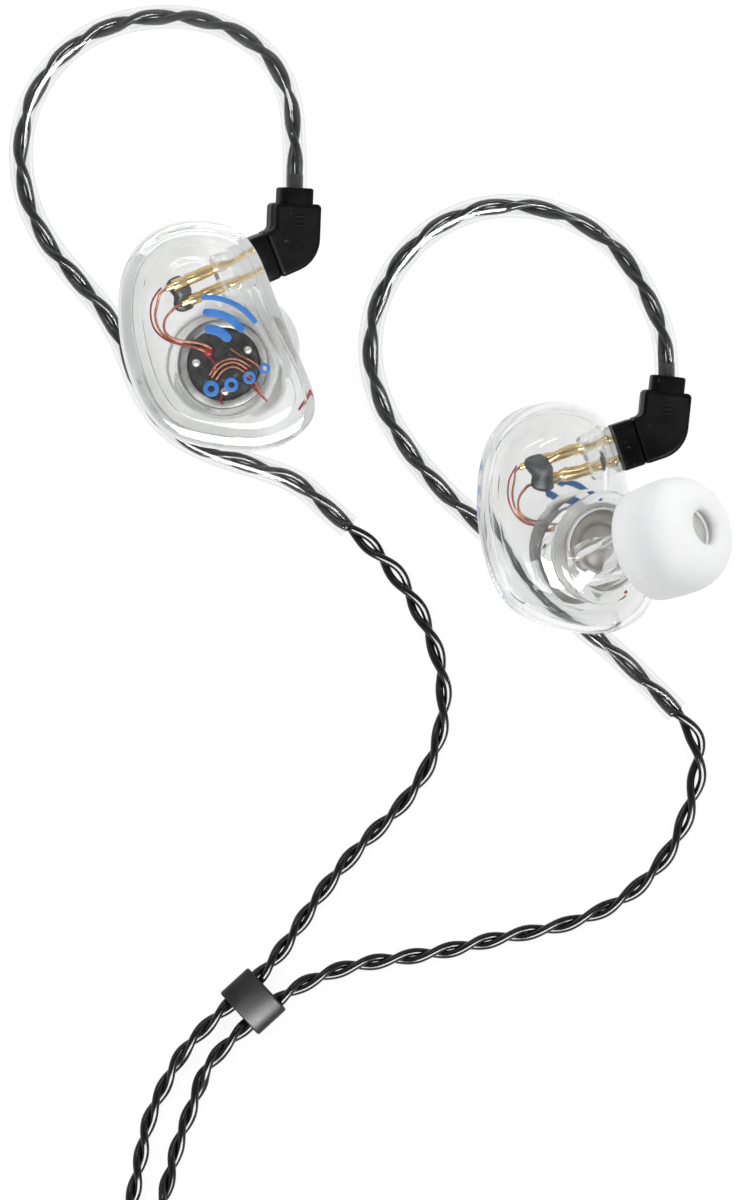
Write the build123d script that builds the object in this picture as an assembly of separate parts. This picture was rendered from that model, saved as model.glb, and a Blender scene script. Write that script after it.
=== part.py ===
from build123d import *
import os
from math import cos, pi, radians, sin, tan

os.makedirs("parts", exist_ok=True)

# A pair of clear in-ear monitors on a detachable two-pin cable, laid out on a table.
# Millimetres, +Z up, table at Z = 0. The left monitor lies faceplate up on its ear tip,
# the right one leans on its rim with its nozzle up.
#
# One monitor is modelled in its own axes: u to the front, v up, w towards the ear, with
# w = 0 at the rim where the faceplate is glued. The left one is that model mirrored.

# ---- monitor shell -------------------------------------------------------------------
rim_outline = [
    (-1.3, 11.4), (2.6, 10.3), (5.2, 6.0), (7.2, 0.8), (9.3, -4.2), (9.8, -7.6),
    (7.4, -10.2), (1.0, -11.0), (-5.0, -9.1), (-8.3, -3.8), (-9.4, 2.8), (-8.0, 8.4), (-5.0, 10.8),
]
crown_outline = [
    (-2.2, 10.9), (0.6, 9.9), (2.9, 6.0), (4.8, 1.6), (6.5, -2.4), (6.7, -6.2),
    (4.9, -8.8), (0.4, -9.6), (-4.0, -8.0), (-6.9, -3.4), (-7.9, 2.2), (-7.2, 7.4), (-5.2, 10.0),
]
rim_swell = 0.25
crown_height = 6.4
dome_height = 1.5
wall = 1.3
cavity_depth = 5.4

# ---- faceplate -----------------------------------------------------------------------
plate_thickness = 1.5
plate_edge_round = 0.9
lip_height = 0.5
lip_width = 0.9
glue_gap = 0.05

# ---- dynamic driver ------------------------------------------------------------------
driver_u = 1.0
driver_v = -2.6
driver_radius = 4.5
driver_height = 4.3
driver_back = 2.2
driver_fit = 0.05
can_wall = 0.4
board_radius = 3.5
board_thickness = 0.4
board_recess = 0.5
vent_radius = 0.35
vent_count = 8
magnet_radius = 3.0
magnet_height = 1.8
pad_radius = 0.45
pad_angles = (30, 178, 272)
diaphragm_thickness = 0.15
roll_radius = 0.45
roll_gap = 0.2
roll_sink = 0.02
dome_radius = 2.2
dome_rise = 0.6
cup_wall = 1.1
cup_round = 0.8
cap_thickness = 1.1
chamber_ledge = 0.6
chamber_depth = 1.0

# ---- nozzle and ear tip --------------------------------------------------------------
nozzle_axis = Vector(0.365, 0.30, 0.88).normalized()
nozzle_u = 0.1
nozzle_v = -4.1
nozzle_length = 12.6
nozzle_radius = 2.2
nozzle_lip_radius = 2.45
nozzle_lip_length = 1.2
nozzle_flare = 1.3
nozzle_bore_radius = 1.5
screen_radius = 1.9
screen_thickness = 0.3
tip_fit = 0.05
tip_core_wall = 0.7
tip_core_length = 6.2
tip_radius = 5.85
tip_height = 7.8
tip_hole_radius = 1.8
tip_front_gap = 1.9
tip_skirt_wall = 0.5

# ---- two-pin connector ---------------------------------------------------------------
plug_seat = Vector(3.7, 7.35, 3.4)
pin_axis = Vector(0.89, 0.38, 0.25).normalized()
leg_axis = Vector(0.04, 0.998, 0.0).normalized()
pin_radius = 0.39
pin_pitch = 2.0
pin_reach = 5.0
pin_root = 1.4
pin_fit = 0.03
pin_point = 0.15
socket_radius = 0.58
socket_length = 5.8
socket_depth = 1.6
socket_stagger = 1.0
socket_tail = 0.8
boss_length = 3.6
boss_wall = 0.7
boss_round = 0.8
glue_length = 1.5
wire_radius = 0.12
seat_gap = 0.05
pocket_gap = 0.3
pocket_depth = 8.0
pocket_round = 0.8

# ---- plug body -----------------------------------------------------------------------
plug_width = 4.8
plug_depth = 3.3
base_length = 2.2
base_round = 0.7
elbow_reach = 4.9
leg_length = 4.15
elbow_round = 3.5
throat_round = 0.5
plug_edge_round = 0.45
collar_width = 3.5
collar_length = 1.55
collar_depth = 2.9
collar_round = 1.2
collar_chamfer = 0.25
tube_insert = 3.0
hook_lead_out = 3.0
lead_run_out = 3.0

# ---- cable ---------------------------------------------------------------------------
tube_radius = 1.2
tube_bore_radius = 0.85
pair_radius = 0.75
tube_fit = 0.03
main_radius = 0.9
lead_z = pair_radius
hook_z = tube_radius

# ---- chin slider ---------------------------------------------------------------------
slider_width = 5.7
slider_length = 3.8
slider_height = 3.2
slider_bore_radius = 1.1
slider_pitch = 2.7
slider_round = 0.35
slider_corner_share = 0.48
slider_run_in = 0.6
slider_run_out = 1.6
slider_travel = 4.0
slider_heading = 222.5
slider_x = -11.72
slider_y = -64.10
slider_centre = Vector(slider_x, slider_y, slider_height / 2)

# ---- put-away coils ------------------------------------------------------------------
lead_coil_x = -21.5
lead_coil_y = -99.0
lead_coil_centre = Vector(lead_coil_x, lead_coil_y, 0)
lead_coil_radius = 8.25
lead_coil_columns = 2
lead_coil_layers = 2
main_coil_x = 18.0
main_coil_y = -102.5
main_coil_centre = Vector(main_coil_x, main_coil_y, 0)
main_coil_radius = 10.0
main_coil_columns = 4
main_coil_layers = 3
coil_gap = 0.1
tie_thickness = 0.4
tie_width = 3.0
tie_gap = 0.05
tie_corner = 0.3
lead_tie_angle = 20.0
main_tie_angle = 15.0

# ---- splitter ------------------------------------------------------------------------
splitter_x = -12.6
splitter_y = -107.6
splitter_start = Vector(splitter_x, splitter_y, 0)
splitter_heading = 20.0
splitter_length = 10.0
splitter_shoulder = 6.0
splitter_width = 5.0
splitter_end_width = 3.0
splitter_height = 3.0
splitter_insert = 1.5
splitter_fit = 0.03
splitter_web = 0.7
splitter_run_in = 0.8

# ---- 3.5 mm plug ---------------------------------------------------------------------
jack_centre_y = -116.2
jack_start_x = 8.5
relief_length = 8.0
relief_small_radius = 1.5
relief_large_radius = 2.1
barrel_radius = 2.8
barrel_length = 15.0
barrel_round = 0.5
sleeve_radius = 1.75
sleeve_length = 7.6
ring_length = 2.4
insulator_length = 0.6
tip_length = 2.8
tip_neck_radius = 1.15
core_radius = 0.7
relief_insert = 2.0
relief_ribs = 5
relief_groove = 0.4
grip_grooves = 6
grip_groove = 0.5


# ---- frames of the two monitors ------------------------------------------------------
def turned(x, y, z, heading):
    """The direction x, y, z turned about +Z by heading degrees."""
    c = cos(radians(heading))
    s = sin(radians(heading))
    return Vector(c * x - s * y, s * x + c * y, z)


left_tilt = 4.5
left_x = -15.4
left_y = 2.0
left_height = 23.13
right_tilt = 26.0
right_heading = -4.0
right_x = 19.15
right_y = -15.9
right_height = 6.8
left_origin = Vector(left_x, left_y, left_height)
right_origin = Vector(right_x, right_y, right_height)

left_u = Vector(cos(radians(left_tilt)), 0, -sin(radians(left_tilt)))
left_w = Vector(-sin(radians(left_tilt)), 0, -cos(radians(left_tilt)))
right_u = turned(cos(radians(right_tilt)), 0, -sin(radians(right_tilt)), right_heading)
right_w = turned(sin(radians(right_tilt)), 0, cos(radians(right_tilt)), right_heading)

left_frame = Plane(origin=left_origin, x_dir=left_u, z_dir=-left_w)
right_frame = Plane(origin=right_origin, x_dir=right_u, z_dir=right_w)


def placed(shape, side):
    """A shape from the monitor's own axes, put where that side's monitor lies."""
    if side == "left":
        return left_frame.location * mirror(shape, about=Plane.XY)
    return right_frame.location * shape


def placed_point(point, side):
    if side == "left":
        return left_frame.from_local_coords(Vector(point.X, point.Y, -point.Z))
    return right_frame.from_local_coords(point)


def placed_direction(direction, side):
    return (placed_point(direction, side) - placed_point(Vector(0, 0, 0), side)).normalized()


def save(shape, node):
    solids = [s for s in shape.solids() if s.volume > 1e-6]
    export_step(Compound(children=solids) if len(solids) > 1 else solids[0], f"parts/{node}.step")


# ---- shell ---------------------------------------------------------------------------
def outline_face(height, crown_share, inset):
    """Closed smooth outline between rim and crown, each point moved in by the inset."""
    points = []
    for (ru, rv), (cu, cv) in zip(rim_outline, crown_outline):
        point = Vector(ru + (cu - ru) * crown_share, rv + (cv - rv) * crown_share, 0)
        inward = Vector(0, point.Y * 0.15, 0) - point
        point = point + inward.normalized() * inset
        points.append((point.X, point.Y, height))
    return Face(Wire([Edge.make_spline(points, periodic=True)]))


def shell_body():
    levels = [
        (0.0, 0.0, 0.0),
        (1.5, 0.08, -rim_swell),
        (0.5 * crown_height, 0.42, -rim_swell),
        (0.78 * crown_height, 0.86, 0.1),
        (crown_height, 1.0, 1.0),
        (crown_height + 0.6 * dome_height, 1.0, 2.4),
        (crown_height + dome_height, 1.0, 4.4),
    ]
    return loft([outline_face(*level) for level in levels])


def shell_cavity():
    levels = [
        (-1.0, 0.0, wall),
        (1.5, 0.08, wall - rim_swell),
        (0.5 * crown_height, 0.42, wall),
        (0.85 * cavity_depth, 0.86, wall + 0.8),
        (cavity_depth, 1.0, wall + 2.4),
    ]
    return loft([outline_face(*level) for level in levels])


driver_front = driver_back + driver_height
cup_radius = driver_radius + driver_fit + cup_wall
cup_top = driver_front + chamber_depth + cap_thickness
nozzle_frame = Plane(origin=Vector(nozzle_u, nozzle_v, cup_top), z_dir=nozzle_axis)
driver_frame = Plane(origin=(driver_u, driver_v, 0))
side_axis = (leg_axis - pin_axis * leg_axis.dot(pin_axis)).normalized()
plug_frame = Plane(origin=plug_seat, x_dir=pin_axis, z_dir=pin_axis.cross(side_axis))


def driver_disc(radius, bottom, top):
    """Cylinder on the driver's axis between two heights."""
    return driver_frame.location * Pos(0, 0, bottom) * Cylinder(
        radius, top - bottom, align=(Align.CENTER, Align.CENTER, Align.MIN)
    )


def nozzle_disc(radius, bottom, top, top_radius=None):
    """Cylinder or cone on the nozzle's axis, measured from the cup's cap."""
    low = (Align.CENTER, Align.CENTER, Align.MIN)
    if top_radius is None:
        body = Cylinder(radius, top - bottom, align=low)
    else:
        body = Cone(radius, top_radius, top - bottom, align=low)
    return nozzle_frame.location * Pos(0, 0, bottom) * body


def plug_rod(radius, start, end, side=0.0):
    """Cylinder along the pin axis, from start to end past the seat, off to one side."""
    rod = Rot(0, 90, 0) * Cylinder(radius, end - start, align=(Align.CENTER, Align.CENTER, Align.MIN))
    return plug_frame.location * Pos(start, side, 0) * rod


def plug_block(start, end, width, depth, rounding):
    section = RectangleRounded(width, depth, rounding)
    block = extrude(Plane.YZ * section, amount=end - start)
    return plug_frame.location * Pos(start, 0, 0) * block


def socket_start(row):
    """Sockets sit one behind the other by the stagger; row is -1 or +1."""
    return -socket_depth - (row + 1) / 2 * socket_stagger


def shell():
    cup = driver_disc(cup_radius, 0.5 * crown_height, cup_top)
    cup = fillet(cup.edges().group_by(Axis.Z)[-1], cup_round)
    body = shell_body() + cup
    body += nozzle_disc(nozzle_radius + nozzle_flare, -cap_thickness, nozzle_flare, nozzle_radius)
    body += nozzle_disc(nozzle_radius, 0, nozzle_length)
    body += nozzle_disc(nozzle_lip_radius, nozzle_length - nozzle_lip_length, nozzle_length)

    cavity = shell_cavity() - driver_disc(cup_radius, driver_back + 1.0, cup_top)
    boss_radius = pin_pitch / 2 + socket_radius + boss_wall
    cavity -= plug_block(-boss_length, 0, 2 * boss_radius, 2 * (socket_radius + boss_wall), boss_round)
    body -= cavity
    body -= driver_disc(driver_radius + driver_fit, -0.1, driver_front)
    body -= driver_disc(driver_radius - chamber_ledge, driver_front - 0.1, driver_front + chamber_depth)
    body -= nozzle_disc(nozzle_bore_radius, -cap_thickness - 0.6, nozzle_length + 0.1)
    body -= nozzle_disc(screen_radius, nozzle_length - screen_thickness, nozzle_length + 0.1)
    pocket_width = plug_width + 2 * pocket_gap
    body -= plug_block(0, pocket_depth, pocket_width, plug_depth + 2 * pocket_gap, pocket_round)
    for row in (-1, 1):
        offset = row * pin_pitch / 2
        body -= plug_rod(pin_radius + pin_fit, socket_start(row) - 0.1, 0.1, offset)
        body -= plug_rod(socket_radius, -boss_length - 3.0, socket_start(row), offset)
    return body


def faceplate():
    plate = extrude(outline_face(0, 0, 0), amount=plate_thickness, dir=(0, 0, -1))
    plate = fillet(plate.edges().group_by(Axis.Z)[0], plate_edge_round)
    lip = extrude(outline_face(0, 0, wall + glue_gap), amount=lip_height)
    lip -= extrude(outline_face(0, 0, wall + glue_gap + lip_width), amount=lip_height)
    return plate + lip


# ---- driver --------------------------------------------------------------------------
def driver_can():
    can = driver_disc(driver_radius, driver_back, driver_front)
    can -= driver_disc(board_radius + driver_fit, driver_back - 0.1, driver_back + board_recess)
    inside = driver_radius - can_wall
    can -= driver_disc(inside, driver_back + 2 * board_recess, driver_front - can_wall)
    can -= driver_disc(magnet_radius, driver_back + board_recess - 0.1, driver_back + 2 * board_recess + 0.1)
    can -= driver_disc(inside - can_wall, driver_front - 2 * can_wall, driver_front + 0.1)
    return fillet(can.edges().filter_by(GeomType.CIRCLE).sort_by(Axis.Z)[-1], 0.1)


def driver_magnet():
    bottom = driver_back + board_recess
    return driver_disc(magnet_radius, bottom, bottom + magnet_height)


def driver_board():
    bottom = driver_back + board_recess - board_thickness
    board = driver_disc(board_radius, bottom, driver_back + board_recess)
    vent = driver_disc(vent_radius, bottom - 0.1, driver_back + board_recess + 0.1)
    ring = 0.5 * board_radius
    for index in range(vent_count):
        angle = 2 * pi * index / vent_count
        board -= Pos(ring * cos(angle), ring * sin(angle), 0) * vent
    return board


def driver_pads():
    bottom = driver_back + board_recess - board_thickness
    pads = []
    for angle in pad_angles:
        ring = 0.78 * board_radius
        dot = Sphere(pad_radius) & Pos(0, 0, -pad_radius) * Box(2, 2, 2 * pad_radius)
        place = Pos(ring * cos(radians(angle)), ring * sin(radians(angle)), bottom)
        pads.append(driver_frame.location * place * dot)
    return Compound(children=[p.solids()[0] for p in pads])


def driver_diaphragm():
    """Thin disc with a rolled surround and a shallow centre dome on its front."""
    outer = driver_radius - can_wall
    top = driver_front - can_wall
    disc = driver_disc(outer, top - diaphragm_thickness, top)
    ball_radius = (dome_radius**2 + dome_rise**2) / (2 * dome_rise)
    ball = driver_frame.location * Pos(0, 0, top + dome_rise - ball_radius) * Sphere(ball_radius)
    dome = ball & driver_disc(outer, top - diaphragm_thickness / 2, top + dome_rise + 0.1)
    roll_place = driver_frame.location * Pos(0, 0, top - roll_sink)
    ring = roll_place * Torus(dome_radius + roll_radius + roll_gap, roll_radius)
    roll = ring & driver_disc(outer, top - diaphragm_thickness / 2, top + dome_rise)
    return disc + dome + roll


# ---- sockets, glue and wires ---------------------------------------------------------
def sockets():
    pair = []
    for row in (-1, 1):
        start = socket_start(row)
        offset = row * pin_pitch / 2
        end = start - socket_length
        tube = plug_rod(socket_radius, end, start, offset)
        tube -= plug_rod(pin_radius + pin_fit, start - socket_length + 1.0, start + 0.1, offset)
        tube += plug_rod(0.6 * socket_radius, end - socket_tail, end, offset)
        pair.append(tube.solids()[0])
    return Compound(children=pair)


def socket_glue():
    end = socket_start(1) - socket_length + 0.4
    block = plug_block(end, end + glue_length, pin_pitch + 2.4, 2.0, 0.9)
    for row in (-1, 1):
        block -= plug_rod(socket_radius, end - 1, end + glue_length + 1, row * pin_pitch / 2)
    return block


def corner_radii(points):
    """Each arc is as large as its two runs allow."""
    radii = []
    for before, corner, after in zip(points, points[1:], points[2:]):
        turn = (corner - before).get_angle(after - corner)
        shorter = min((corner - before).length, (after - corner).length)
        radii.append(0.45 * shorter / tan(radians(turn) / 2))
    return radii


def routed(points, section, name):
    """A section swept along straight runs joined by tangent arcs."""
    radii = corner_radii(points)
    path = FilletPolyline(*points, radius=radii)
    profile = Plane(origin=path @ 0, z_dir=path % 0) * section
    tube = sweep(profile, path=path)
    area = profile.face().area if hasattr(profile, "face") else section.area
    smallest = min(radii)
    ratio = tube.volume / (area * path.length)
    print(f"{name}: length {path.length:.1f}, smallest radius {smallest:.2f}, volume ratio {ratio:.4f}")
    print("   radii", [round(r, 1) for r in radii])
    return tube


def socket_end(row):
    local = Vector(socket_start(row) - socket_length - socket_tail, row * pin_pitch / 2, 0)
    return plug_frame.from_local_coords(local)


def wires():
    contact = driver_back + board_recess - board_thickness - 1.5 * wire_radius
    routes = [
        [(-6.1, 3.6, 1.1), (-6.3, 2.0, 1.4), (-5.6, 0.4, 1.6), (-4.2, -0.9, 1.6), (-1.2, -1.3, contact)],
        [(-4.6, 2.5, 1.3), (-5.2, 1.3, 1.5), (-4.7, 0.1, 1.6), (-3.4, -0.5, 1.6), (-0.4, -0.4, contact)],
    ]
    pair = []
    for row, route in zip((1, -1), routes):
        start = socket_end(row)
        points = [start, start - pin_axis * 6 * wire_radius] + [Vector(*p) for p in route]
        pair.append(routed(points, Circle(wire_radius), "wire").solids()[0])
    return Compound(children=pair)


def nozzle_screen():
    return nozzle_disc(screen_radius, nozzle_length - screen_thickness, nozzle_length)


# ---- ear tip -------------------------------------------------------------------------
def ear_tip():
    """Mushroom tip turned about the nozzle's axis: core tube, domed front, thin skirt."""
    front = nozzle_length + tip_front_gap
    rear = front - tip_height
    core_bore = nozzle_lip_radius + tip_fit
    core_outer = core_bore + tip_core_wall
    core_rear = front - tip_front_gap - tip_core_length + 0.6
    stop = nozzle_length + 0.3
    with BuildPart() as tip:
        with BuildSketch(Plane.XZ):
            with BuildLine():
                outside = Spline(
                    (tip_hole_radius, front - 0.35),
                    (tip_hole_radius + 0.75, front),
                    (0.72 * tip_radius, front - 0.5),
                    (0.92 * tip_radius, front - 1.9),
                    (tip_radius, front - 0.55 * tip_height),
                    (0.965 * tip_radius, rear),
                )
                rim = Line(outside @ 1, (0.965 * tip_radius - tip_skirt_wall, rear))
                inside = Spline(
                    rim @ 1,
                    (tip_radius - 1.3 * tip_skirt_wall, front - 0.55 * tip_height),
                    (0.78 * tip_radius, front - 2.6),
                    (core_outer + 0.5, front - 2.3),
                    (core_outer, front - 3.1),
                )
                Polyline(
                    inside @ 1,
                    (core_outer, core_rear),
                    (core_bore, core_rear),
                    (core_bore, stop),
                    (tip_hole_radius, stop + 0.5),
                    (tip_hole_radius, front - 0.35),
                )
            make_face()
        revolve(axis=Axis.Z)
    return nozzle_frame.location * tip.part


# ---- plug ----------------------------------------------------------------------------
leg_along = leg_axis.dot(pin_axis)
leg_across = leg_axis.dot(side_axis)


def leg_point(along_leg, aside):
    """Place in the plug's plane: along the leg from the elbow's corner, and to its right."""
    u = elbow_reach + along_leg * leg_along + aside * leg_across
    v = along_leg * leg_across - aside * leg_along
    return (u, v)


def plug_base():
    base = plug_block(seat_gap, base_length, plug_width, plug_depth, base_round)
    for row in (-1, 1):
        base -= plug_rod(pin_radius, -1, pin_root, row * pin_pitch / 2)
    return base


def plug_elbow():
    half = plug_width / 2
    heel = leg_point(-(half - half * leg_along) / leg_across, half)
    throat = leg_point((half - half * leg_along) / leg_across, -half)
    with BuildPart() as elbow:
        with BuildSketch() as profile:
            with BuildLine():
                Polyline(
                    (base_length, -half),
                    heel,
                    leg_point(leg_length, half),
                    leg_point(leg_length, -half),
                    throat,
                    (base_length, half),
                    close=True,
                )
            make_face()
            fillet(profile.vertices().sort_by_distance(heel)[0], elbow_round)
            fillet(profile.vertices().sort_by_distance(throat)[0], throat_round)
        extrude(amount=plug_depth / 2, both=True)
        sides = elbow.faces().filter_by(Axis.Z)
        fillet(sides.edges(), plug_edge_round)
    corner = Plane(
        origin=(*leg_point(0, 0), 0), x_dir=(leg_across, -leg_along, 0), z_dir=(leg_along, leg_across, 0)
    )
    collar_section = RectangleRounded(collar_width, collar_depth, collar_round)
    collar = extrude(collar_section, amount=leg_length + collar_length)
    collar = chamfer(collar.edges().group_by(Axis.Z)[-1], collar_chamfer)
    bore_floor = leg_length + collar_length - tube_insert
    bore = Pos(0, 0, bore_floor) * Cylinder(
        tube_radius + tube_fit, tube_insert + 1, align=(Align.CENTER, Align.CENTER, Align.MIN)
    )
    body = elbow.part + corner.location * collar - corner.location * bore
    body = plug_frame.location * body
    for row in (-1, 1):
        body -= plug_rod(pin_radius, 0, pin_root, row * pin_pitch / 2)
    return body


def plug_pins():
    pins = []
    for row in (-1, 1):
        offset = row * pin_pitch / 2
        pin = plug_rod(pin_radius, -pin_reach, pin_root, offset)
        end = plug_frame.from_local_coords(Vector(-pin_reach, offset, 0))
        rim = pin.edges().filter_by(GeomType.CIRCLE).sort_by_distance(end)[0]
        pins.append(chamfer(rim, pin_point).solids()[0])
    return Compound(children=pins)


monitor_nodes = {
    "shell": shell,
    "faceplate": faceplate,
    "driver_can": driver_can,
    "driver_magnet": driver_magnet,
    "driver_board": driver_board,
    "driver_pads": driver_pads,
    "driver_diaphragm": driver_diaphragm,
    "sockets": sockets,
    "socket_glue": socket_glue,
    "wires": wires,
    "nozzle_screen": nozzle_screen,
    "ear_tip": ear_tip,
    "plug_base": plug_base,
    "plug_elbow": plug_elbow,
    "plug_pins": plug_pins,
}

for node, make in monitor_nodes.items():
    model = make()
    for side in ("left", "right"):
        save(placed(model, side), f"{side}_{node}")


# ---- ear hooks -----------------------------------------------------------------------
collar_end = leg_length + collar_length
hook_start = {}
hook_exit = {}
for side in ("left", "right"):
    inside_collar = plug_frame.from_local_coords(Vector(*leg_point(collar_end - tube_insert, 0), 0))
    past_collar = plug_frame.from_local_coords(Vector(*leg_point(collar_end + hook_lead_out, 0), 0))
    hook_start[side] = placed_point(inside_collar, side)
    hook_exit[side] = placed_point(past_collar, side)

left_hook_points = [
    (-8.0, 26.9, 15.8), (-11.0, 31.2, 13.9), (-15.4, 33.6, 11.3), (-20.5, 34.3, 8.7),
    (-25.8, 33.5, 6.3), (-30.4, 31.0, 4.3), (-33.6, 27.0, 2.7), (-35.1, 22.0, 1.7), (-34.7, 16.9, hook_z),
    (-32.8, 12.2, hook_z), (-29.4, 8.1, hook_z), (-26.3, 4.7, hook_z), (-24.3, 0.7, hook_z),
    (-22.9, -3.4, hook_z), (-20.1, -7.1, hook_z), (-15.7, -9.4, hook_z), (-11.1, -10.7, hook_z),
    (-6.9, -12.3, hook_z), (-4.4, -14.8, hook_z), (-2.1, -16.7, hook_z),
]
right_hook_points = [
    (26.9, 7.9, 7.0), (24.2, 11.6, 6.2), (20.2, 14.2, 5.1), (15.5, 15.5, 4.0),
    (10.6, 15.2, 2.9), (6.1, 13.2, 2.0), (2.5, 9.6, 1.4), (0.3, 5.0, hook_z), (-0.2, 0.0, hook_z),
    (1.2, -4.9, hook_z), (3.9, -9.3, hook_z), (7.4, -13.4, hook_z), (11.2, -16.6, hook_z),
    (15.2, -20.6, hook_z), (20.3, -25.9, hook_z), (25.4, -29.9, hook_z), (30.6, -35.2, hook_z),
]
hook_routes = {
    "left": [hook_start["left"], hook_exit["left"]] + [Vector(*p) for p in left_hook_points],
    "right": [hook_start["right"], hook_exit["right"]] + [Vector(*p) for p in right_hook_points],
}

for side, route in hook_routes.items():
    outside = routed(route, Circle(tube_radius), f"{side} hook tube")
    inside = routed(route, Circle(tube_bore_radius), f"{side} hook bore")
    save(outside - inside, f"{side}_hook_tube")
    save(routed(route, Circle(pair_radius), f"{side} hook cable"), f"{side}_hook_cable")


# ---- chin slider ---------------------------------------------------------------------
slider_axis = turned(1, 0, 0, slider_heading)
slider_frame = Plane(origin=slider_centre, x_dir=turned(0, -1, 0, slider_heading), z_dir=slider_axis)


def slider_bore_point(row, along):
    """Place on a bore's axis; row -1 is the right lead, +1 the left lead."""
    return slider_frame.from_local_coords(Vector(row * slider_pitch / 2, 0, along))


def chin_slider():
    section = RectangleRounded(slider_width, slider_height, slider_corner_share * slider_height)
    bead = extrude(section, amount=slider_length / 2, both=True)
    bead = fillet(bead.edges().group_by(Axis.Z)[0], slider_round)
    bead = fillet(bead.edges().group_by(Axis.Z)[-1], slider_round)
    for row in (-1, 1):
        bore = Pos(row * slider_pitch / 2, 0, 0) * Cylinder(slider_bore_radius, 2 * slider_length)
        bead -= bore
    return slider_frame.location * bead


save(chin_slider(), "chin_slider")


# ---- put-away coils ------------------------------------------------------------------
def coil_ring(centre, mean_radius, strand_radius, columns, layers, floor):
    """Round-cornered ring that holds the turns of one wound cord."""
    width = 2 * strand_radius * columns + coil_gap
    height = 2 * strand_radius * layers + coil_gap
    section = Pos(mean_radius, floor + height / 2) * RectangleRounded(width, height, 0.9 * strand_radius)
    return Pos(centre) * revolve(Plane.XZ * section, axis=Axis.Z)


def coil_tie(centre, mean_radius, strand_radius, columns, height, angle):
    """Band round the coil's section, on the table."""
    bulge = (tie_width / 2) ** 2 / (2 * (mean_radius - strand_radius * columns))
    width = 2 * strand_radius * columns + coil_gap + 2 * tie_gap + 2 * bulge
    tall = height + 2 * tie_gap
    inner = RectangleRounded(width, tall, tie_corner)
    outer = RectangleRounded(width + 2 * tie_thickness, tall + 2 * tie_thickness, tie_corner + tie_thickness)
    band = extrude(outer - inner, amount=tie_width / 2, both=True)
    middle = tie_thickness + tie_gap + height / 2
    upright = Plane(origin=(mean_radius, 0, middle), x_dir=(1, 0, 0), z_dir=(0, 1, 0))
    return Pos(centre) * Rot(0, 0, angle) * upright.location * band


coil_floor = tie_thickness + 2 * tie_gap
lead_coil_height = 2 * pair_radius * lead_coil_layers + coil_gap
left_coil = coil_ring(
    lead_coil_centre, lead_coil_radius, pair_radius, lead_coil_columns, lead_coil_layers, coil_floor
)
right_coil = coil_ring(
    lead_coil_centre,
    lead_coil_radius,
    pair_radius,
    lead_coil_columns,
    lead_coil_layers,
    coil_floor + lead_coil_height,
)
main_coil_height = 2 * main_radius * main_coil_layers + coil_gap
main_coil = coil_ring(
    main_coil_centre, main_coil_radius, main_radius, main_coil_columns, main_coil_layers, coil_floor
)
save(left_coil, "left_lead_coil")
save(right_coil, "right_lead_coil")
save(main_coil, "main_coil")
lead_tie = coil_tie(
    lead_coil_centre, lead_coil_radius, pair_radius, lead_coil_columns, 2 * lead_coil_height, lead_tie_angle
)
main_tie = coil_tie(
    main_coil_centre, main_coil_radius, main_radius, main_coil_columns, main_coil_height, main_tie_angle
)
save(lead_tie, "lead_tie")
save(main_tie, "main_tie")


# ---- splitter ------------------------------------------------------------------------
splitter_frame = Plane(
    origin=splitter_start + Vector(0, 0, splitter_height / 2),
    x_dir=turned(0, -1, 0, splitter_heading),
    z_dir=turned(1, 0, 0, splitter_heading),
)


def splitter_mouth(row):
    """Mouth of a lead's socket; row +1 is the left lead, -1 the right lead."""
    return splitter_frame.from_local_coords(Vector(-row * (pair_radius + splitter_web / 2), 0, 0))


def y_splitter():
    back = RectangleRounded(splitter_width, splitter_height, 0.45 * splitter_height)
    front = RectangleRounded(splitter_end_width, splitter_end_width, 0.45 * splitter_end_width)
    shoulder = Pos(0, 0, splitter_shoulder) * back
    nose = Pos(0, 0, splitter_length) * front
    body = loft([back.face(), shoulder.face(), nose.face()], ruled=True)
    low = (Align.CENTER, Align.CENTER, Align.MIN)
    for row in (-1, 1):
        socket = Cylinder(pair_radius + splitter_fit, splitter_insert, align=low)
        body -= Pos(row * (pair_radius + splitter_web / 2), 0, 0) * socket
    outlet = Cylinder(main_radius + splitter_fit, splitter_insert, align=low)
    body -= Pos(0, 0, splitter_length - splitter_insert) * outlet
    return splitter_frame.location * body


save(y_splitter(), "y_splitter")


# ---- leads ---------------------------------------------------------------------------
def along_splitter(row, distance):
    return splitter_mouth(row) + splitter_frame.z_dir * distance


lead_points = {
    "left": [
        (3.6, -22.6, lead_z), (6.5, -28.3, lead_z), (7.6, -33.6, lead_z), (6.6, -39.4, lead_z),
        (3.4, -44.4, lead_z), (-1.1, -48.6, lead_z), (-5.1, -53.4, 0.9), (-8.1, -58.0, 1.3),
    ],
    "right": [
        (32.9, -41.2, lead_z), (31.2, -47.1, lead_z), (28.4, -51.3, lead_z), (24.6, -54.5, lead_z),
        (19.4, -56.6, lead_z), (13.2, -57.7, lead_z), (7.2, -59.2, lead_z), (1.4, -60.0, lead_z),
        (-3.2, -60.8, 1.1),
    ],
}
low_points = {
    "left": [
        (-20.2, -71.7, lead_z), (-22.3, -76.0, lead_z), (-23.2, -81.0, lead_z), (-24.3, -86.0, lead_z),
        (-27.6, -90.6, 1.1),
    ],
    "right": [
        (-17.4, -73.6, lead_z), (-19.2, -78.0, lead_z), (-20.3, -82.4, 1.2), (-21.6, -86.4, 2.9),
        (-25.4, -89.9, 4.6),
    ],
}
coil_middle = {
    "left": coil_floor + 0.5 * lead_coil_height,
    "right": coil_floor + 1.5 * lead_coil_height,
}
lead_row = {"left": 1, "right": -1}
tail_points = {
    "left": [(-17.6, -107.3, 1.5)],
    "right": [(-17.6, -108.2, 5.0), (-14.8, -109.2, 2.7)],
}

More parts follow.
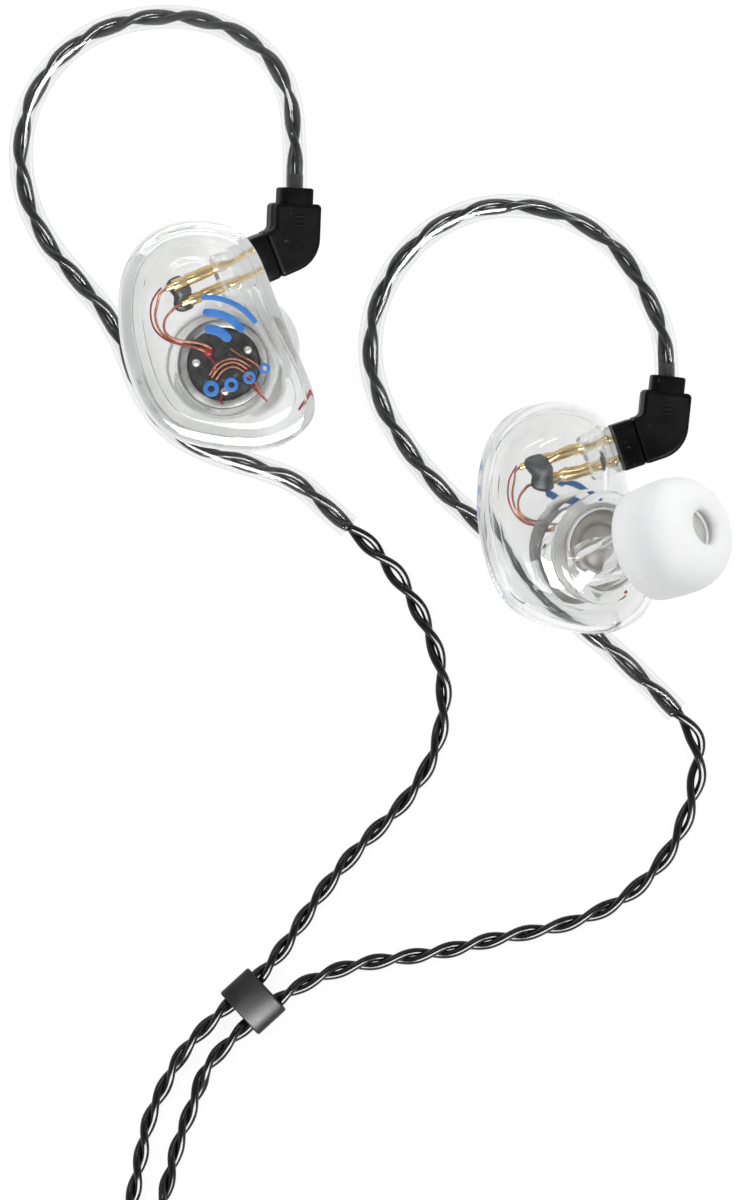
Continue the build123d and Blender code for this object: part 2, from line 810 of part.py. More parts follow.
for side in ("left", "right"):
    row = lead_row[side]
    start = hook_routes[side][-1]
    heading = (start - hook_routes[side][-2]).normalized()
    above = slider_bore_point(row, -slider_length / 2 - slider_run_in)
    below = slider_bore_point(row, slider_length / 2 + slider_travel + slider_run_out)
    entry = lead_coil_centre + Vector(-lead_coil_radius, 1.0, coil_middle[side])
    route = [start, start + heading * lead_run_out]
    route += [Vector(*p) for p in lead_points[side]] + [above, below]
    route += [Vector(*p) for p in low_points[side]] + [entry]
    upper = routed(route, Circle(pair_radius), f"{side} lead")
    leave = lead_coil_centre + Vector(0.6, -lead_coil_radius, coil_middle[side])
    tail_route = [leave] + [Vector(*p) for p in tail_points[side]]
    tail_route += [along_splitter(row, -splitter_run_in), along_splitter(row, splitter_insert)]
    tail = routed(tail_route, Circle(pair_radius), f"{side} lead tail")
    coil = left_coil if side == "left" else right_coil
    save(Compound(children=[(upper - coil).solids()[0], (tail - coil).solids()[0]]), f"{side}_lead")


# ---- main cable ----------------------------------------------------------------------
main_middle = coil_floor + 0.5 * main_coil_height
outlet_floor = splitter_frame.from_local_coords(Vector(0, 0, splitter_length - splitter_insert))
outlet_exit = splitter_frame.from_local_coords(Vector(0, 0, splitter_length + 1.2))
main_in_points = [(1.6, -101.2, 1.4), (5.4, -97.0, 1.4), (9.8, -93.9, 1.9), (14.0, -92.7, main_middle)]
main_in_route = [outlet_floor, outlet_exit] + [Vector(*p) for p in main_in_points]
main_in_route += [main_coil_centre + Vector(0, main_coil_radius - 0.1, main_middle)]
main_in = routed(main_in_route, Circle(main_radius), "main cable in")

relief_mouth = Vector(jack_start_x, jack_centre_y, barrel_radius)
main_out_route = [
    main_coil_centre + Vector(1.0, -main_coil_radius, main_middle),
    main_coil_centre + Vector(-2.0, -main_coil_radius - 0.7, main_middle),
    relief_mouth + Vector(1.2, 0, 0),
    relief_mouth - Vector(relief_insert, 0, 0),
]
main_out = routed(main_out_route, Circle(main_radius), "main cable out")
save(Compound(children=[(main_in - main_coil).solids()[0], (main_out - main_coil).solids()[0]]), "main_lead")


# ---- 3.5 mm plug ---------------------------------------------------------------------
jack_frame = Plane(origin=relief_mouth, x_dir=(0, 1, 0), z_dir=(-1, 0, 0))


def jack_disc(radius, start, length, end_radius=None):
    low = (Align.CENTER, Align.CENTER, Align.MIN)
    if end_radius is None:
        return Pos(0, 0, start) * Cylinder(radius, length, align=low)
    return Pos(0, 0, start) * Cone(radius, end_radius, length, align=low)


def jack_relief():
    body = jack_disc(relief_small_radius, 0, relief_length, relief_large_radius)
    body += jack_disc(relief_large_radius, relief_length, relief_insert)
    for index in range(relief_ribs):
        start = relief_length * (0.18 + 0.78 * index / relief_ribs)
        ring = relief_small_radius + (relief_large_radius - relief_small_radius) * start / relief_length
        groove = jack_disc(relief_large_radius + 1, start, relief_groove) - jack_disc(
            ring - relief_groove, start, relief_groove
        )
        body -= groove
    body -= jack_disc(main_radius + splitter_fit, -0.1, relief_insert + 0.1)
    return body


def jack_barrel():
    barrel = jack_disc(barrel_radius, relief_length, barrel_length)
    barrel = fillet(barrel.edges().filter_by(GeomType.CIRCLE), barrel_round)
    barrel -= jack_disc(relief_large_radius, relief_length - 0.1, relief_insert + 0.1)
    barrel -= jack_disc(core_radius, relief_length + barrel_length - 2.0, 2.1)
    for index in range(grip_grooves):
        start = relief_length + 0.25 * barrel_length + index * 2.2 * grip_groove
        barrel -= jack_disc(barrel_radius + 1, start, grip_groove) - jack_disc(
            barrel_radius - 0.3 * grip_groove, start, grip_groove
        )
    return barrel


contact_start = relief_length + barrel_length
ring_start = contact_start + sleeve_length + insulator_length
tip_start = ring_start + ring_length + insulator_length


def contact_ring(start, length):
    return jack_disc(sleeve_radius, start, length) - jack_disc(core_radius, start, length)


def jack_sleeve():
    return contact_ring(contact_start, sleeve_length)


def jack_ring():
    return contact_ring(ring_start, ring_length)


def jack_insulators():
    bands = []
    for start in (contact_start + sleeve_length, ring_start + ring_length):
        bands.append(contact_ring(start, insulator_length).solids()[0])
    return Compound(children=bands)


def jack_tip():
    """Bulb, waist and rounded nose on the core that runs back into the barrel."""
    tip = jack_disc(sleeve_radius, tip_start, 0.3 * tip_length)
    tip += jack_disc(sleeve_radius, tip_start + 0.3 * tip_length, 0.25 * tip_length, tip_neck_radius)
    tip += jack_disc(tip_neck_radius, tip_start + 0.55 * tip_length, 0.2 * tip_length, sleeve_radius - 0.1)
    nose = jack_disc(sleeve_radius - 0.1, tip_start + 0.75 * tip_length, 0.55 * tip_length, 0.45)
    tip += nose
    return tip + jack_disc(core_radius, contact_start - 2.0, tip_start - contact_start + 2.0)


jack_nodes = {
    "jack_relief": jack_relief,
    "jack_barrel": jack_barrel,
    "jack_sleeve": jack_sleeve,
    "jack_ring": jack_ring,
    "jack_insulators": jack_insulators,
    "jack_tip": jack_tip,
}

for node, make in jack_nodes.items():
    save(jack_frame.location * make(), node)
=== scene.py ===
import bpy
import numpy as np
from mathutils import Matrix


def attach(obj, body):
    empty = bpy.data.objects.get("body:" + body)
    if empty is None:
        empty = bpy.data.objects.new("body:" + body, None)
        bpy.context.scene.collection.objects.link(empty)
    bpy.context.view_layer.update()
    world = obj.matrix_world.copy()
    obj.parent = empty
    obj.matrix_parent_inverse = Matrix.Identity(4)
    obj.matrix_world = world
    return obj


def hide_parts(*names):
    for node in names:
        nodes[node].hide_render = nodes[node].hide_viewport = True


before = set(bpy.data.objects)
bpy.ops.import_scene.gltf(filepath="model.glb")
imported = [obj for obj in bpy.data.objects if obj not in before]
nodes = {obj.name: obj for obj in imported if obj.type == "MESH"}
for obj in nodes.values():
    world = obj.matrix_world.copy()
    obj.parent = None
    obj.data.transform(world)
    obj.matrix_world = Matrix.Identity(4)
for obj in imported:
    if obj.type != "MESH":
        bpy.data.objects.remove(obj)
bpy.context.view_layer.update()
mm = 0.001
sides = ("left", "right")
print("frame loaded:", len(nodes), "nodes")


def addObject(name, data):
    added = bpy.data.objects.new(name, data)
    bpy.context.collection.objects.link(added)
    return added


camera = {
    "aim": (-0.0002, -0.0240), "height": 2.4, "frameHeight": 0.120, "sensor": 36.0, "near": 0.05, "far": 20
}
lens = bpy.data.cameras.new("camera")
lens.sensor_fit = "VERTICAL"
lens.sensor_height = camera["sensor"]
lens.lens = camera["sensor"] * camera["height"] / camera["frameHeight"]
lens.clip_start, lens.clip_end = camera["near"], camera["far"]
cameraObject = addObject("camera", lens)
cameraObject.location = (*camera["aim"], camera["height"])
bpy.context.scene.camera = cameraObject
bpy.context.scene.view_settings.view_transform = "Standard"


def unit(vector):
    vector = np.asarray(vector, float)
    return vector / np.linalg.norm(vector, axis=-1, keepdims=True)


def travelled(path):
    return np.r_[0, np.cumsum(np.linalg.norm(np.diff(path, axis=0), axis=1))]


# Even angles round a circle, its last not repeated.
def roundAngles(columns):
    return np.linspace(0, 2 * np.pi, columns, endpoint=False)


# A skin over a stack of closed rings: quads between neighbours, and an end shut by a fan to its pole, or the
# last ring joined to the first. A triangle has -1 in its fourth place.
def skin(rings, startPole=None, endPole=None, wrap=False):
    rows, columns = rings.shape[:2]
    i, j = np.meshgrid(np.arange(rows if wrap else rows - 1), np.arange(columns), indexing="ij")
    k, below = (j + 1) % columns, (i + 1) % rows
    quads = np.stack([i * columns + j, i * columns + k, below * columns + k, below * columns + j], -1)
    points, faces = [rings.reshape(-1, 3)], [quads.reshape(-1, 4)]
    j = np.arange(columns)
    k = (j + 1) % columns
    for pole, row, turn in ((startPole, 0, 1), (endPole, rows - 1, -1)):
        if pole is not None:
            tip = np.full(columns, sum(map(len, points)))
            fan = np.stack([row * columns + k, row * columns + j, tip], -1)[:, ::turn]
            faces.append(np.c_[fan, np.full(columns, -1)])
            points.append(np.asarray(pole, float).reshape(1, 3))
    return np.concatenate(points), np.concatenate(faces)


# Six times the volume: the sum of the wedges that each triangle, or half quad, makes with the origin.
def signedVolume(points, faces):
    p = points[np.concatenate([faces[:, :3], faces[faces[:, 3] >= 0][:, (0, 2, 3)]])]
    return np.einsum("ij,ij->", p[:, 0], np.cross(p[:, 1], p[:, 2]))


# One mesh from several (points, faces) parts, each turned so that its faces point outwards.
def makeMesh(name, parts):
    allPoints, allFaces, first = [], [], 0
    for points, faces in parts:
        if signedVolume(points, faces) < 0:
            faces = np.where(faces[:, 3:] < 0, faces[:, (2, 1, 0, 3)], faces[:, ::-1])
        allPoints.append(points)
        allFaces.append(np.where(faces < 0, -1, faces + first))
        first += len(points)
    faces = np.concatenate(allFaces)
    mesh = bpy.data.meshes.new(name)
    mesh.from_pydata(np.concatenate(allPoints), [], [face[face >= 0] for face in faces])
    mesh.validate()
    return mesh


# The same mesh with its points moved by a rule; where that rule mirrors them, the faces turn over.
def movedMesh(mesh, rule, mirrored):
    mesh = mesh.copy()
    points = np.empty(len(mesh.vertices) * 3)
    mesh.vertices.foreach_get("co", points)
    mesh.vertices.foreach_set("co", rule(points.reshape(-1, 3)).ravel())
    if mirrored:
        mesh.flip_normals()
    mesh.update()
    return mesh


# A mesh shown as a piece: smooth apart from edges over the given angle, on its body, and in place of the
# named nodes.
def showMesh(name, mesh, finish, body, slot, *replaced, sharp=None):
    mesh.name = name
    mesh.polygons.foreach_set("use_smooth", np.full(len(mesh.polygons), True))
    if sharp is not None:
        mesh.set_sharp_from_angle(angle=np.radians(sharp))
    mesh.materials.clear()
    mesh.materials.append(finishes[finish])
    piece = addObject(name, mesh)
    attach(piece, body)
    if replaced:
        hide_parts(*replaced)
    return piece


def addPiece(name, parts, *rest, **options):
    return showMesh(name, makeMesh(name, parts), *rest, **options)


# A cubic through the values at their knots whose bend runs on evenly; closed, it joins its own start.
def smoothThrough(knots, values, at, closed=False):
    knots, values, at = np.asarray(knots, float), np.asarray(values, float), np.asarray(at, float)
    y = values.reshape(len(values), -1)
    y = np.vstack([y, y[:1]]) if closed else y
    gap = np.diff(knots)
    slope = np.diff(y, axis=0) / gap[:, None]
    count = len(y)
    matrix, right = np.zeros((count, count)), np.zeros(y.shape)
    i = np.arange(1, count - 1)
    matrix[i, i - 1], matrix[i, i], matrix[i, i + 1] = gap[:-1], 2 * (gap[:-1] + gap[1:]), gap[1:]
    right[1:-1] = 6 * np.diff(slope, axis=0)
    matrix[0, 0] = matrix[-1, -1] = 1
    if closed:
        matrix[0, -1] = -1
        matrix[-1] = 0
        matrix[-1, [count - 2, 0, 1]] = gap[-1], 2 * (gap[-1] + gap[0]), gap[0]
        right[-1] = 6 * (slope[0] - slope[-1])
    bend = np.linalg.solve(matrix, right)
    k = np.clip(np.searchsorted(knots, at, side="right") - 1, 0, count - 2)
    a = ((knots[k + 1] - at) / gap[k])[:, None]
    b = 1 - a
    sag = (a**3 - a) * bend[k] + (b**3 - b) * bend[k + 1]
    line = a * y[k] + b * y[k + 1] + sag * (gap[k] ** 2)[:, None] / 6
    return line.reshape((len(at),) + values.shape[1:])


# A flat outline with an arc at each corner: its middle lies on the corner's bisector,
# at radius / sin(half angle).
def softCorners(points, radii, steps=6, closed=True):
    points = np.asarray(points, float)
    radii = np.broadcast_to(np.asarray(radii, float), len(points))[:, None]
    before, after = unit(np.roll(points, 1, 0) - points), unit(np.roll(points, -1, 0) - points)
    half = np.arccos(np.clip((before * after).sum(-1), -0.999999, 0.999999))[:, None] / 2
    middle = points + unit(before + after) * radii / np.sin(half)
    first, last = points + before * radii / np.tan(half), points + after * radii / np.tan(half)
    swing = (np.pi - 2 * half)[:, :, None]
    t = np.linspace(0, 1, steps)[None, :, None]
    arc = np.sin((1 - t) * swing) * (first - middle)[:, None] + np.sin(t * swing) * (last - middle)[:, None]
    arcs = middle[:, None] + arc / np.sin(swing)
    if closed:
        return arcs.reshape(-1, 2)
    return np.vstack([points[:1], arcs[1:-1].reshape(-1, 2), points[-1:]])


# Each (radius, height) of a profile becomes a circle about the axis; a radius of 0 at an end becomes its pole.
def turnedSkin(profile, origin, axis, columns, wrap=False):
    profile, origin, axis = np.asarray(profile, float), np.asarray(origin, float), unit(axis)
    across = unit(np.cross(axis, (0.3, 1.0, 0.2)))
    a = roundAngles(columns)[:, None]
    circle = np.cos(a) * across + np.sin(a) * np.cross(axis, across)
    rings = origin + profile[:, 1, None, None] * axis + profile[:, 0, None, None] * circle
    if wrap:
        return skin(rings, wrap=True)
    poles = [origin + profile[row, 1] * axis if profile[row, 0] < 1e-9 else None for row in (0, -1)]
    return skin(rings[(poles[0] is not None):len(rings) - (poles[1] is not None)], *poles)


# Distance from the middle of |x/a|^n + |y/b|^n = 1 at even angles: a rectangle whose corners soften as n falls.
def softSquare(width, depth, power, columns):
    a = roundAngles(columns)
    across, deep = np.abs(np.cos(a) / (width / 2)), np.abs(np.sin(a) / (depth / 2))
    reach = (across**power + deep**power) ** (-1 / power)
    return np.stack([reach * np.cos(a), reach * np.sin(a)], -1)


def atHeight(outline, height):
    return np.c_[outline, np.full(len(outline), height)]


# Insets and heights of an edge rounded by a quarter circle, from its flat end to its side.
def quarter(radius, height, towards, steps=5):
    a = np.linspace(0, np.pi / 2, steps)
    return np.stack([radius * (1 - np.sin(a)), height + towards * radius * (1 - np.cos(a))], -1)


# A soft-cornered bar between two heights: its section shrinks by the inset of each row, and both ends are shut.
def barSkin(width, depth, power, start, end, rounding, columns=64, place=None):
    half = min(width, depth) / 2
    inner = rounding + min(0.06, 0.3 * (half - rounding))
    rows = np.vstack([
        [(0.8 * half, start), (inner, start)], quarter(rounding, start, 1),
        quarter(rounding, end, -1)[::-1], [(inner, end), (0.8 * half, end)],
    ])
    rings = [
        atHeight(softSquare(width - 2 * inset, depth - 2 * inset, power, columns), at) for inset, at in rows
    ]
    points, faces = skin(np.stack(rings), (0, 0, start), (0, 0, end))
    return (points if place is None else place(points)), faces


# A bare mesh in mm: the first skin with some skins or meshes joined to it, and others then cut from it.
def carved(form, joined, cut):
    body, *tools = [
        addObject("form", each if isinstance(each, bpy.types.Mesh) else makeMesh("form", [each]))
        for each in (form, *joined, *cut)
    ]
    for number, tool in enumerate(tools):
        change = body.modifiers.new("change", "BOOLEAN")
        change.object, change.solver = tool, "EXACT"
        change.operation = "UNION" if number < len(joined) else "DIFFERENCE"
    bpy.context.view_layer.update()
    mesh = bpy.data.meshes.new_from_object(body.evaluated_get(bpy.context.evaluated_depsgraph_get()))
    for used in (body, *tools):
        bpy.data.objects.remove(used)
    return mesh


# Even points along the NURBS line that takes the given points, in mm, as its control points.
def readRoute(points, step):
    curve = bpy.data.curves.new("route", "CURVE")
    curve.dimensions = "3D"
    line = curve.splines.new("NURBS")
    line.points.add(len(points) - 1)
    control = np.c_[np.array(points, float) * mm, np.ones(len(points))]
    line.points.foreach_set("co", control.ravel())
    line.order_u, line.use_endpoint_u, line.resolution_u = 3, True, 24
    holder = addObject("route", curve)
    bpy.context.view_layer.update()
    mesh = bpy.data.meshes.new_from_object(holder)
    path = np.array([v.co for v in mesh.vertices])
    bpy.data.objects.remove(holder)
    bpy.data.curves.remove(curve)
    bpy.data.meshes.remove(mesh)
    gone = travelled(path)
    places = np.linspace(0, gone[-1], int(gone[-1] / (step * mm)) + 2)
    return np.stack([np.interp(places, gone, path[:, axis]) for axis in range(3)], -1)


# Level side and upward directions at each point of a route that is never upright.
def routeFrame(path):
    heading = unit(np.gradient(path, axis=0))
    level = unit(np.cross([0, 0, 1.0], heading))
    return level, np.cross(heading, level)


# Rings of a round section square to the path: centre + radius (cos a level + sin a up).
def sweep(path, radius, columns):
    level, up = routeFrame(path)
    a = roundAngles(columns)[None, :, None]
    return path[:, None] + radius * (np.cos(a) * level[:, None] + np.sin(a) * up[:, None])


def roundBar(path, radius, columns):
    return skin(sweep(path, radius, columns), path[0], path[-1])


# Strands laid round the path: each one's centre turns about it once per pitch, wider across than it is high,
# and the pitch starts slacker by a share that dies away along the path.
def strands(path, settings, startTurn=0.0, spread=0.0):
    level, up = routeFrame(path)
    gone = travelled(path) / mm
    pitch = settings["pitch"] + settings.get("slacker", 0.0) * np.exp(-gone / settings.get("slackOver", 1.0))
    turn = startTurn - 2 * np.pi * np.cumsum(np.gradient(gone) / pitch)
    across = (settings["offset"] + np.broadcast_to(spread, len(path)))[:, None] * mm
    parts = []
    for number in range(settings["count"]):
        angle = (turn + 2 * np.pi * number / settings["count"])[:, None]
        middle = path + across * np.cos(angle) * level + settings["offset"] * mm * np.sin(angle) * up
        parts.append(roundBar(middle, settings["radius"] * mm, settings["columns"]))
    return parts, turn[-1]


# A shader node with its settings. An input is given as a value, as the output that feeds it, or as the node
# whose first output does.
def addNode(tree, kind, inputs, **settings):
    node = tree.nodes.new("ShaderNode" + kind)
    for name, value in settings.items():
        setattr(node, name, value)
    for socket, value in inputs.items():
        if isinstance(value, bpy.types.Node):
            value = value.outputs[0]
        if isinstance(value, bpy.types.NodeSocket):
            tree.links.new(value, node.inputs[socket])
        else:
            node.inputs[socket].default_value = value
    return node


# Noise in Object coordinates, its scale in waves per metre.
def noiseNode(tree, scale, detail=3.0):
    place = addNode(tree, "TexCoord", {}).outputs["Object"]
    return addNode(tree, "TexNoise", {"Vector": place, "Scale": scale, "Detail": detail})


def rampNode(tree, source, dark, light, low=0.3, high=0.7):
    ramp = addNode(tree, "ValToRGB", {"Fac": source})
    for element, position, colour in zip(ramp.color_ramp.elements, (low, high), (dark, light)):
        element.position = position
        element.color = (*colour, 1)
    return ramp


def rangeNode(tree, source, start, end, low=0.0, high=1.0):
    ends = {"From Min": low, "From Max": high, "To Min": start, "To Max": end}
    return addNode(tree, "MapRange", {"Value": source, **ends})


def bumpNode(tree, scale, strength, depth):
    return addNode(
        tree, "Bump", {"Height": noiseNode(tree, scale, 2.0), "Strength": strength, "Distance": depth * mm}
    )


def newMaterial(name):
    material = bpy.data.materials.new(name)
    material.use_nodes = True
    material.node_tree.nodes.clear()
    return material, material.node_tree


specks = {
    "blackMoulding": {"colour": (0.12, 0.12, 0.12), "scale": 1500, "share": 0.3},
    "matteBead": {"colour": (0.1, 0.1, 0.1), "scale": 1300, "share": 0.35},
    "driverBoard": {"colour": (0.3, 0.28, 0.24), "scale": 1800, "share": 0.5},
}
# Share and depths in metres of the light inside it.
softened = {"whiteSilicone": (0.9, (0.0026, 0.0025, 0.0024))}


# A plastic, rubber or metal: colour and roughness wander between two values, wear specks it,
# and it has a fine bump.
def solidFinish(name, dark, light, scale, roughness, bumpScale, bump, metallic, specular):
    material, tree = newMaterial(name)
    wander = noiseNode(tree, scale)
    colour = rampNode(tree, wander, dark, light)
    if name in specks:
        speck = specks[name]
        dust = noiseNode(tree, speck["scale"], 4.0)
        share = rampNode(tree, dust, (0, 0, 0), (speck["share"],) * 3, 0.66, 0.74)
        mix = addNode(
            tree, "Mix", {"Factor": share, "A": colour, "B": (*speck["colour"], 1)}, data_type="RGBA"
        )
        colour = mix.outputs["Result"]
    inside, depths = softened.get(name, (0.0, (mm, mm, mm)))
    shader = addNode(tree, "BsdfPrincipled", {
        "Base Color": colour, "Roughness": rangeNode(tree, wander, *roughness),
        "Normal": bumpNode(tree, bumpScale, bump, 0.02), "Metallic": metallic, "Specular IOR Level": specular,
        "Subsurface Weight": inside, "Subsurface Radius": depths, "Subsurface Scale": 1.0,
    })
    addNode(tree, "OutputMaterial", {"Surface": shader})
    return material


# A clear plastic: refracting, faintly uneven, deeper in colour where it turns away, and open to the lamps' rays.
# Past a few reflections inside it, or many rays deep, an even pale glow is painted in place of the light left.
def clearFinish(name, settings):
    material, tree = newMaterial(name)
    cloud = noiseNode(tree, settings["waveScale"] * 0.7)
    facing = addNode(tree, "LayerWeight", {"Blend": 0.5}).outputs["Facing"]
    body = rampNode(tree, facing, settings["tint"], settings["edge"], *settings["band"])
    haze = rampNode(tree, cloud, settings["haze"], (1, 1, 1), 0.35, 0.65)
    colour = addNode(
        tree, "Mix", {"Factor": 1.0, "A": body, "B": haze}, data_type="RGBA", blend_type="MULTIPLY"
    )
    shader = addNode(tree, "BsdfPrincipled", {
        "Base Color": colour.outputs["Result"], "Transmission Weight": 1.0, "IOR": settings["ior"],
        "Specular IOR Level": settings["specular"],
        "Roughness": rangeNode(tree, cloud, *settings["roughness"], 0.4, 0.75),
        "Normal": bumpNode(tree, settings["waveScale"], settings["wave"], settings["waveDepth"]),
    })
    path = addNode(tree, "LightPath", {})
    pastGlowDepth = [
        addNode(tree, "Math", {0: path.outputs[depth], 1: most}, operation="GREATER_THAN")
        for depth, most in (("Glossy Depth", settings["paintedGlowDepth"]), ("Ray Depth", 8.5))
    ]
    either = addNode(tree, "Math", dict(enumerate(pastGlowDepth)), operation="MAXIMUM")
    # painted glow: an even pale emission shown instead of the light once rays have reflected too often inside
    pale = addNode(tree, "Emission", {"Color": (*settings["paintedGlowColour"], 1)})
    inside = addNode(tree, "MixShader", {"Fac": either, 1: shader, 2: pale})
    shade = addNode(tree, "BsdfTransparent", {"Color": (*settings["shade"], 1)})
    seen = addNode(tree, "MixShader", {"Fac": path.outputs["Is Shadow Ray"], 1: inside, 2: shade})
    addNode(tree, "OutputMaterial", {"Surface": seen})
    return material


clearPlastics = {
    "clearResin": {
        "tint": (0.955, 0.959, 0.955), "edge": (0.93, 0.934, 0.932), "band": (0.25, 1.0),
        "haze": (0.86, 0.863, 0.86), "ior": 1.45, "roughness": (0.015, 0.14), "specular": 0.5,
        "waveScale": 230, "wave": 0.85, "waveDepth": 0.1, "shade": (0.93, 0.93, 0.93), "paintedGlowDepth": 1.5,
        "paintedGlowColour": (0.72, 0.725, 0.725),
    },
    "clearTubing": {
        "tint": (0.93, 0.935, 0.935), "edge": (0.5, 0.51, 0.51), "band": (0.35, 0.95),
        "haze": (0.96, 0.96, 0.96), "ior": 1.42, "roughness": (0.01, 0.04), "specular": 0.25,
        "waveScale": 500, "wave": 0.2, "waveDepth": 0.05, "shade": (0.9, 0.9, 0.9), "paintedGlowDepth": 2.5,
        "paintedGlowColour": (0.75, 0.755, 0.755),
    },
}
# Each row: dark and light colour, waves per metre, lowest and highest roughness, waves of the bump and its
# strength, how metallic it is, and its specular level.
solids = {
    "cableJacket": ((0.002, 0.002, 0.0022), (0.005, 0.005, 0.0055), 900, (0.14, 0.22), 4000, 0.06, 0.0, 0.3),
    "tubedJacket": ((0.002, 0.002, 0.0022), (0.006, 0.006, 0.007), 700, (0.12, 0.2), 4000, 0.06, 0.0, 0.5),
    "blackMoulding": ((0.0018, 0.0018, 0.002), (0.004, 0.004, 0.0045), 600, (0.3, 0.42), 4200, 0.4, 0.0, 0.06),
    "matteBead": ((0.005, 0.005, 0.0055), (0.013, 0.013, 0.014), 500, (0.4, 0.5), 3600, 0.6, 0.0, 0.24),
    "goldPlating": ((0.62, 0.43, 0.19), (0.86, 0.69, 0.4), 700, (0.1, 0.2), 2600, 0.15, 1.0, 0.5),
    "driverSteel": ((0.09, 0.09, 0.092), (0.27, 0.265, 0.26), 420, (0.24, 0.42), 2200, 0.25, 0.9, 0.5),
    "driverFrame": ((0.5, 0.5, 0.49), (0.72, 0.72, 0.7), 380, (0.2, 0.34), 2200, 0.2, 0.0, 0.1),
    "magnetNickel": ((0.02, 0.02, 0.022), (0.07, 0.07, 0.075), 700, (0.25, 0.4), 2600, 0.2, 0.7, 0.5),
    "driverBoard": ((0.003, 0.003, 0.0035), (0.05, 0.05, 0.052), 1100, (0.22, 0.4), 2200, 0.5, 0.0, 0.15),
    "solder": ((0.5, 0.48, 0.44), (0.82, 0.8, 0.74), 1500, (0.14, 0.3), 2600, 0.6, 0.9, 0.5),
    "diaphragmFilm": ((0.34, 0.32, 0.285), (0.54, 0.51, 0.46), 400, (0.26, 0.38), 2600, 0.1, 0.0, 0.12),
    "darkEpoxy": ((0.05, 0.052, 0.056), (0.17, 0.175, 0.185), 900, (0.16, 0.3), 1200, 0.6, 0.0, 0.15),
    "enamelledCopper": ((0.26, 0.08, 0.04), (0.66, 0.27, 0.15), 1500, (0.14, 0.24), 3000, 0.1, 0.15, 0.25),
    "redEnamel": ((0.26, 0.01, 0.02), (0.55, 0.035, 0.04), 1200, (0.14, 0.24), 3000, 0.1, 0.0, 0.2),
    "screenSteel": ((0.6, 0.6, 0.59), (0.88, 0.88, 0.86), 6000, (0.3, 0.5), 7000, 0.8, 0.2, 0.5),
    "whiteSilicone": ((0.92, 0.92, 0.915), (0.96, 0.96, 0.955), 240, (0.5, 0.6), 2400, 0.12, 0.0, 0.04),
    "siliconeBand": ((0.01, 0.01, 0.01), (0.02, 0.02, 0.02), 600, (0.45, 0.6), 2600, 0.3, 0.0, 0.06),
    "greySleeve": ((0.015, 0.015, 0.016), (0.035, 0.035, 0.036), 700, (0.4, 0.55), 2600, 0.3, 0.0, 0.1),
    "bluePrint": ((0.035, 0.17, 0.52), (0.06, 0.23, 0.62), 900, (0.35, 0.5), 3600, 0.25, 0.0, 0.1),
}
finishes = {name: clearFinish(name, settings) for name, settings in clearPlastics.items()}
finishes.update({name: solidFinish(name, *row) for name, row in solids.items()})

sideFinish = {
    "clearResin": "shell faceplate", "driverSteel": "driver_can", "magnetNickel": "driver_magnet",
    "driverBoard": "driver_board", "solder": "driver_pads", "diaphragmFilm": "driver_diaphragm",
    "goldPlating": "sockets plug_pins", "darkEpoxy": "socket_glue", "enamelledCopper": "wires",
    "screenSteel": "nozzle_screen", "whiteSilicone": "ear_tip", "blackMoulding": "plug_base plug_elbow",
    "clearTubing": "hook_tube", "tubedJacket": "hook_cable", "cableJacket": "lead lead_coil",
}
sharedFinish = {
    "matteBead": "chin_slider jack_barrel", "siliconeBand": "lead_tie main_tie jack_insulators",
    "blackMoulding": "y_splitter jack_relief", "cableJacket": "main_lead main_coil",
    "goldPlating": "jack_sleeve jack_ring jack_tip",
}
for plan, starts in ((sideFinish, ("left_", "right_")), (sharedFinish, ("",))):
    for finish, parts in plan.items():
        for node in [start + part for start in starts for part in parts.split()]:
            nodes[node].material_slots[0].material = finishes[finish]
print("finishes made:", len(finishes))

table = {"size": 3.0, "glow": 0.9, "shadowShare": 0.16, "bounce": 0.8, "under": 0.02}


# White to the eye and to glass, with the object's shadow kept by a thin share of plain white.
def tableMaterial():
    material, tree = newMaterial("tableTop")
    plain, faint = [
        addNode(tree, "BsdfDiffuse", {"Color": (*[table[share]] * 3, 1)})
        for share in ("bounce", "shadowShare")
    ]
    glow = addNode(tree, "Emission", {"Color": (1, 1, 1, 1), "Strength": table["glow"]})
    path = addNode(tree, "LightPath", {})
    seen = path.outputs["Is Camera Ray"]
    for ray in ("Is Glossy Ray", "Is Transmission Ray"):
        seen = addNode(tree, "Math", {0: seen, 1: path.outputs[ray]}, operation="MAXIMUM")
    both = addNode(tree, "AddShader", {0: faint, 1: glow})
    mix = addNode(tree, "MixShader", {"Fac": seen, 1: plain, 2: both})
    addNode(tree, "OutputMaterial", {"Surface": mix})
    return material


half = table["size"] / 2
tableTop = bpy.data.meshes.new("tableTop")
tableTop.from_pydata(
    [(-half, -half, 0), (half, -half, 0), (half, half, 0), (-half, half, 0)], [], [(0, 1, 2, 3)]
)
tableTop.materials.append(tableMaterial())
floor = addObject("tableTop", tableTop)
floor.location.z = -table["under"] * mm

room = {"walls": 1.0, "ceiling": 0.3, "wallTop": 0.3, "ceilingFrom": 0.85, "throughGlass": 0.85}
world = bpy.data.worlds.new("studio")
bpy.context.scene.world = world
world.use_nodes = True
sky = world.node_tree
sky.nodes.clear()
height = addNode(sky, "SeparateXYZ", {0: addNode(sky, "TexCoord", {}).outputs["Generated"]}).outputs["Z"]
fade = rangeNode(sky, height, room["walls"], room["ceiling"], room["wallTop"], room["ceilingFrom"])
path = addNode(sky, "LightPath", {})
# Pale walls fade to a dim ceiling; glass sees a share of them, and the eye plain white.
shade = addNode(sky, "Background", {"Color": (1, 1, 1, 1), "Strength": fade})
for ray, share, strength in (
    ("Is Transmission Ray", room["throughGlass"], fade), ("Is Camera Ray", 1.0, 1.0)
):
    seen = addNode(sky, "Background", {"Color": (share, share, share, 1), "Strength": strength})
    shade = addNode(sky, "MixShader", {"Fac": path.outputs[ray], 1: shade, 2: seen})
addNode(sky, "OutputWorld", {"Surface": shade})

